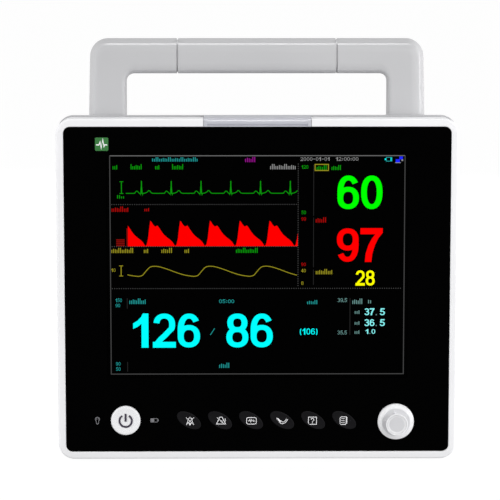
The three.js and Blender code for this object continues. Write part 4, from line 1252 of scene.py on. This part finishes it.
def make_cuff_fitting():
    """A hose barb with a waist, a flange against the panel, and a bore right through."""
    profile = [
        (2.2, -8.3), (4.0, -8.3), (4.7, -8.0), (5, -7.5), (5, -5.6), (4.6, -5.0), (4.2, -4.7), (4.2, -3.5),
        (4.6, -3.1), (5, -2.7), (5.2, -2.4), (8.4, -2.4), (8.85, -2.2), (9, -1.8), (9, -GAP),
        (CUFF_BARREL, -GAP), (CUFF_BARREL, 6.2), (3.2, 6.2), (3.2, 12), (2.2, 12),
    ]
    centre = (PORTS_FACE, PORTS_Y, middle_of("nibp_port").z)
    fitting = turned("cuff_fitting", profile, "x", centre, tube=True)
    finish(fitting, STEEL, "nibp_port")


def make_port_panel():
    low, high = box_of("patient_port_panel")
    plate = side_prism("port_plate", outline(low.y, high.y, low.z, high.z, 2.5, 8), low.x, high.x)
    barrels = {"nibp_port": CUFF_BARREL} | {node: row[1] for node, row in SOCKETS.items()}
    bores = [
        rod("bore", barrel + 0.4, -5, 8, "x", (low.x, PORTS_Y, middle_of(node).z), 64)
        for node, barrel in barrels.items()
    ]
    cut(plate, *bores)
    finish(plate, WHITE, "patient_port_panel", edge=0.5, segments=3)
    for node, row in SOCKETS.items():
        make_socket(node, *row)
    make_cuff_fitting()


def make_casing_screws():
    """Round-headed screws. Two crossed slots make the driver's recess."""
    for i, (x, z) in enumerate(SCREW_SPOTS):
        node = "casing_screw_" + str(i + 1)
        back = box_of(node)[1].y
        profile = [
            (0, 12), (1.7, 12), (1.7, back - 2.4), (3.2, back - 2.4), (3.2, back - 0.7), (3.0, back - 0.3),
            (2.5, back - 0.05), (1.8, back), (0, back),
        ]
        screw = turned(node + "_turned", profile, "y", (x, 0, z), 32)
        for wide, high in ((1.4, 0.25), (0.25, 1.4)):
            cut(screw, block("slot", x - wide, x + wide, back - 0.9, back + 1.1, z - high, z + high))
        finish(screw, STEEL, node)


def make_feet():
    for i in range(4):
        node = "foot_" + str(i + 1)
        low, high = box_of(node)
        radius = (high.x - low.x) / 2
        profile = [
            (0, low.z + 0.4), (radius - 3.2, low.z + 0.4), (radius - 2.9, low.z), (radius - 1.6, low.z),
            (radius - 1.15, low.z + 0.12), (radius - 0.95, low.z + 0.5), (radius, high.z), (0, high.z),
        ]
        foot = turned(node + "_pad", profile, "z", ((low.x + high.x) / 2, (low.y + high.y) / 2, 0))
        finish(foot, FOOT_RUBBER, node)


def make_ground_post():
    """A stud with a collar against the bay's plate and a thread of six turns."""
    middle = middle_of("ground_post")
    collar = [(3, 2), (5.2, 2), (5.5, 2.3), (5.5, 3.5), (5.1, 3.9), (3, 4.6)]
    profile = [(0, 128), (3, 128)] + deeper(BAY_PLATE, collar)
    start, end, turns = BAY_PLATE + 4.8, 142.2, 6
    pitch = (end - start) / turns
    for i in range(turns):
        profile += [(2.6, start + i * pitch), (3, start + (i + 0.5) * pitch)]
    profile += [(2.6, end + 0.2), (2.1, end + 1), (0, end + 1.2)]
    post = turned("ground_stud", profile, "y", (middle.x, 0, middle.z), 48)
    finish(post, BRASS, "ground_post")


# ---- CAD pieces that stay ----

# Each finish, with the nodes that wear it and how far their edges are rounded.
STAYING = {
    STEEL: {
        "lcd_bracket": 0.2, "encoder_body": 0.2, "encoder_shaft": 0.3, "handle_core_rod": 0.4,
        "handle_screw_left": 0.3, "handle_screw_right": 0.3, "door_hinge_pin": 0.15, "rear_port_plate": 0.2,
        "mains_fuse_1": 0.3, "mains_fuse_2": 0.3, "network_port": 0.2, "chassis_plate": 0.2,
    },
    DARK: {
        "lcd_module": 0.4, "encoder_plunger": 0.1, "battery_bay": 0.4, "ac_inlet": 0.35, "fuse_drawer": 0.4,
        "nibp_pump": 0.5, "speaker": 0.3,
    },
    BOARD: {
        "alarm_led_board": 0.15, "key_board": 0.15, "main_board": 0.15, "power_supply": 0.2,
        "parameter_board": 0.15,
    },
    FOOT_RUBBER: {"keypad_mat": 0.2},
    GREY: {"battery_door": 0.4},
    WRAP: {"battery_pack": 1.0},
    HOSE: {"nibp_hose": 0, "lcd_cable": 0.05},
}


def dress(node, material, width):
    """Gives a CAD node its finish, clean flats and small rounded edges, without touching its own mesh."""
    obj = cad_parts[node]
    obj.data.materials.clear()
    obj.data.materials.append(material)
    modify(obj, "weld", "WELD", merge_threshold=1e-6)
    modify(obj, "flats", "DECIMATE", decimate_type="DISSOLVE", angle_limit=math.radians(0.5))
    if width:
        limit = math.radians(38)
        modify(obj, "edges", "BEVEL", width=width * MM, segments=2, limit_method="ANGLE", angle_limit=limit)
    modify(obj, "normals", "WEIGHTED_NORMAL", keep_sharp=True)


# ---- studio ----


def area_light(name, spot, target, width, height, energy, mirrored=True, diffuse=True):
    data = bpy.data.lights.new(name, "AREA")
    data.shape = "RECTANGLE"
    data.size = width
    data.size_y = height
    data.energy = energy
    light = new_object(name, data)
    light.location = spot
    light.rotation_euler = (Vector(target) - Vector(spot)).to_track_quat("-Z", "Y").to_euler()
    light.visible_glossy = mirrored
    light.visible_diffuse = diffuse


def make_world():
    """A pale room. What the glossy surfaces mirror is dimmer than what the eye sees."""
    world = bpy.data.worlds.new("pale_room")
    bpy.context.scene.world = world
    tree = Tree(world)
    tree.nodes.clear()
    pale = (1, 1, 1, 1)
    parts = tree.add("SeparateXYZ")
    tree.link(tree.add("TexCoord").outputs["Generated"], parts, 0)
    height = tree.add("MapRange", From_Min=-0.6, From_Max=0.5, To_Min=WORLD_BELOW, To_Max=WORLD_ABOVE)
    tree.link(parts.outputs["Z"], height, "Value")
    room = tree.add("Background", Color=pale)
    tree.link(height.outputs["Result"], room, "Strength")
    rays = tree.add("LightPath")
    for ray, strength in (("Is Glossy Ray", WORLD_MIRRORED), ("Is Camera Ray", WORLD_SEEN)):
        choice = tree.add("MixShader")
        tree.link(rays.outputs[ray], choice, 0)
        tree.link(room.outputs[0], choice, 1)
        tree.link(tree.add("Background", Color=pale, Strength=strength).outputs[0], choice, 2)
        room = choice
    tree.link(room.outputs[0], tree.add("OutputWorld"), "Surface")


def make_floor():
    """A pale floor that runs out of sight, bright enough to meet the background without a line."""
    shader = Shader(
        "pale_floor", Roughness=0.9, Specular_IOR_Level=0.0, Emission_Color=(1, 1, 1, 1),
        Emission_Strength=FLOOR_GLOW,
    )
    shader.mottle((0.12, 0.12, 0.12, 1), 900, 0.003)
    mesh = bpy.data.meshes.new("floor")
    corners = slab(-FLOOR_REACH, FLOOR_REACH, -FLOOR_REACH, FLOOR_REACH)
    mesh.from_pydata([(x, y, 0) for x, y in corners], [], [(0, 1, 2, 3)])
    mesh.materials.append(shader.material)
    floor = new_object("floor", mesh)
    floor.visible_glossy = False
    floor.visible_diffuse = False


def make_camera():
    data = bpy.data.cameras.new("camera")
    data.lens = LENS
    data.sensor_width = SENSOR
    data.clip_end = 200
    camera = new_object("camera", data)
    pitch, yaw = math.radians(CAMERA_PITCH), math.radians(CAMERA_YAW)
    away = Vector((-math.sin(yaw) * math.cos(pitch), -math.cos(yaw) * math.cos(pitch), math.sin(pitch)))
    camera.location = place([CAMERA_TARGET])[0] + away * CAMERA_DISTANCE
    camera.rotation_euler = (math.pi / 2 - pitch, 0, -yaw)
    bpy.context.scene.camera = camera


def make_studio():
    """The lights are placed in metres in the row frame."""
    make_camera()
    make_world()
    make_floor()
    area_light("overhead", (0.015, -0.07, 1.7), (0.015, -0.04, 0.3), 0.9, 0.25, 15, diffuse=False)
    area_light("right", (1.9, 0.12, 0.5), (0, -0.03, 0.25), 1.1, 1.5, 23)
    area_light("left", (-2.0, -0.35, 0.7), (0, -0.05, 0.2), 1.2, 1.2, 22, mirrored=False)
    area_light("front", (1.2, -2.0, 0.75), (0, 0, 0.18), 1.4, 1.1, 23)
    area_light("behind", (0.4, 2.4, 1.0), (0, 0, 0.2), 2.0, 1.4, 18, mirrored=False)
    bpy.context.scene.view_settings.view_transform = "Standard"


make_studio()
make_bezel()
make_panel()
make_window()
make_lamp()
make_power_button()
make_keys()
make_knob()
make_panel_marks()
make_picture()
make_handle()
make_rear_casing()
make_port_panel()
make_casing_screws()
make_feet()
make_ground_post()
for material, nodes in STAYING.items():
    for node, width in nodes.items():
        dress(node, material, width)
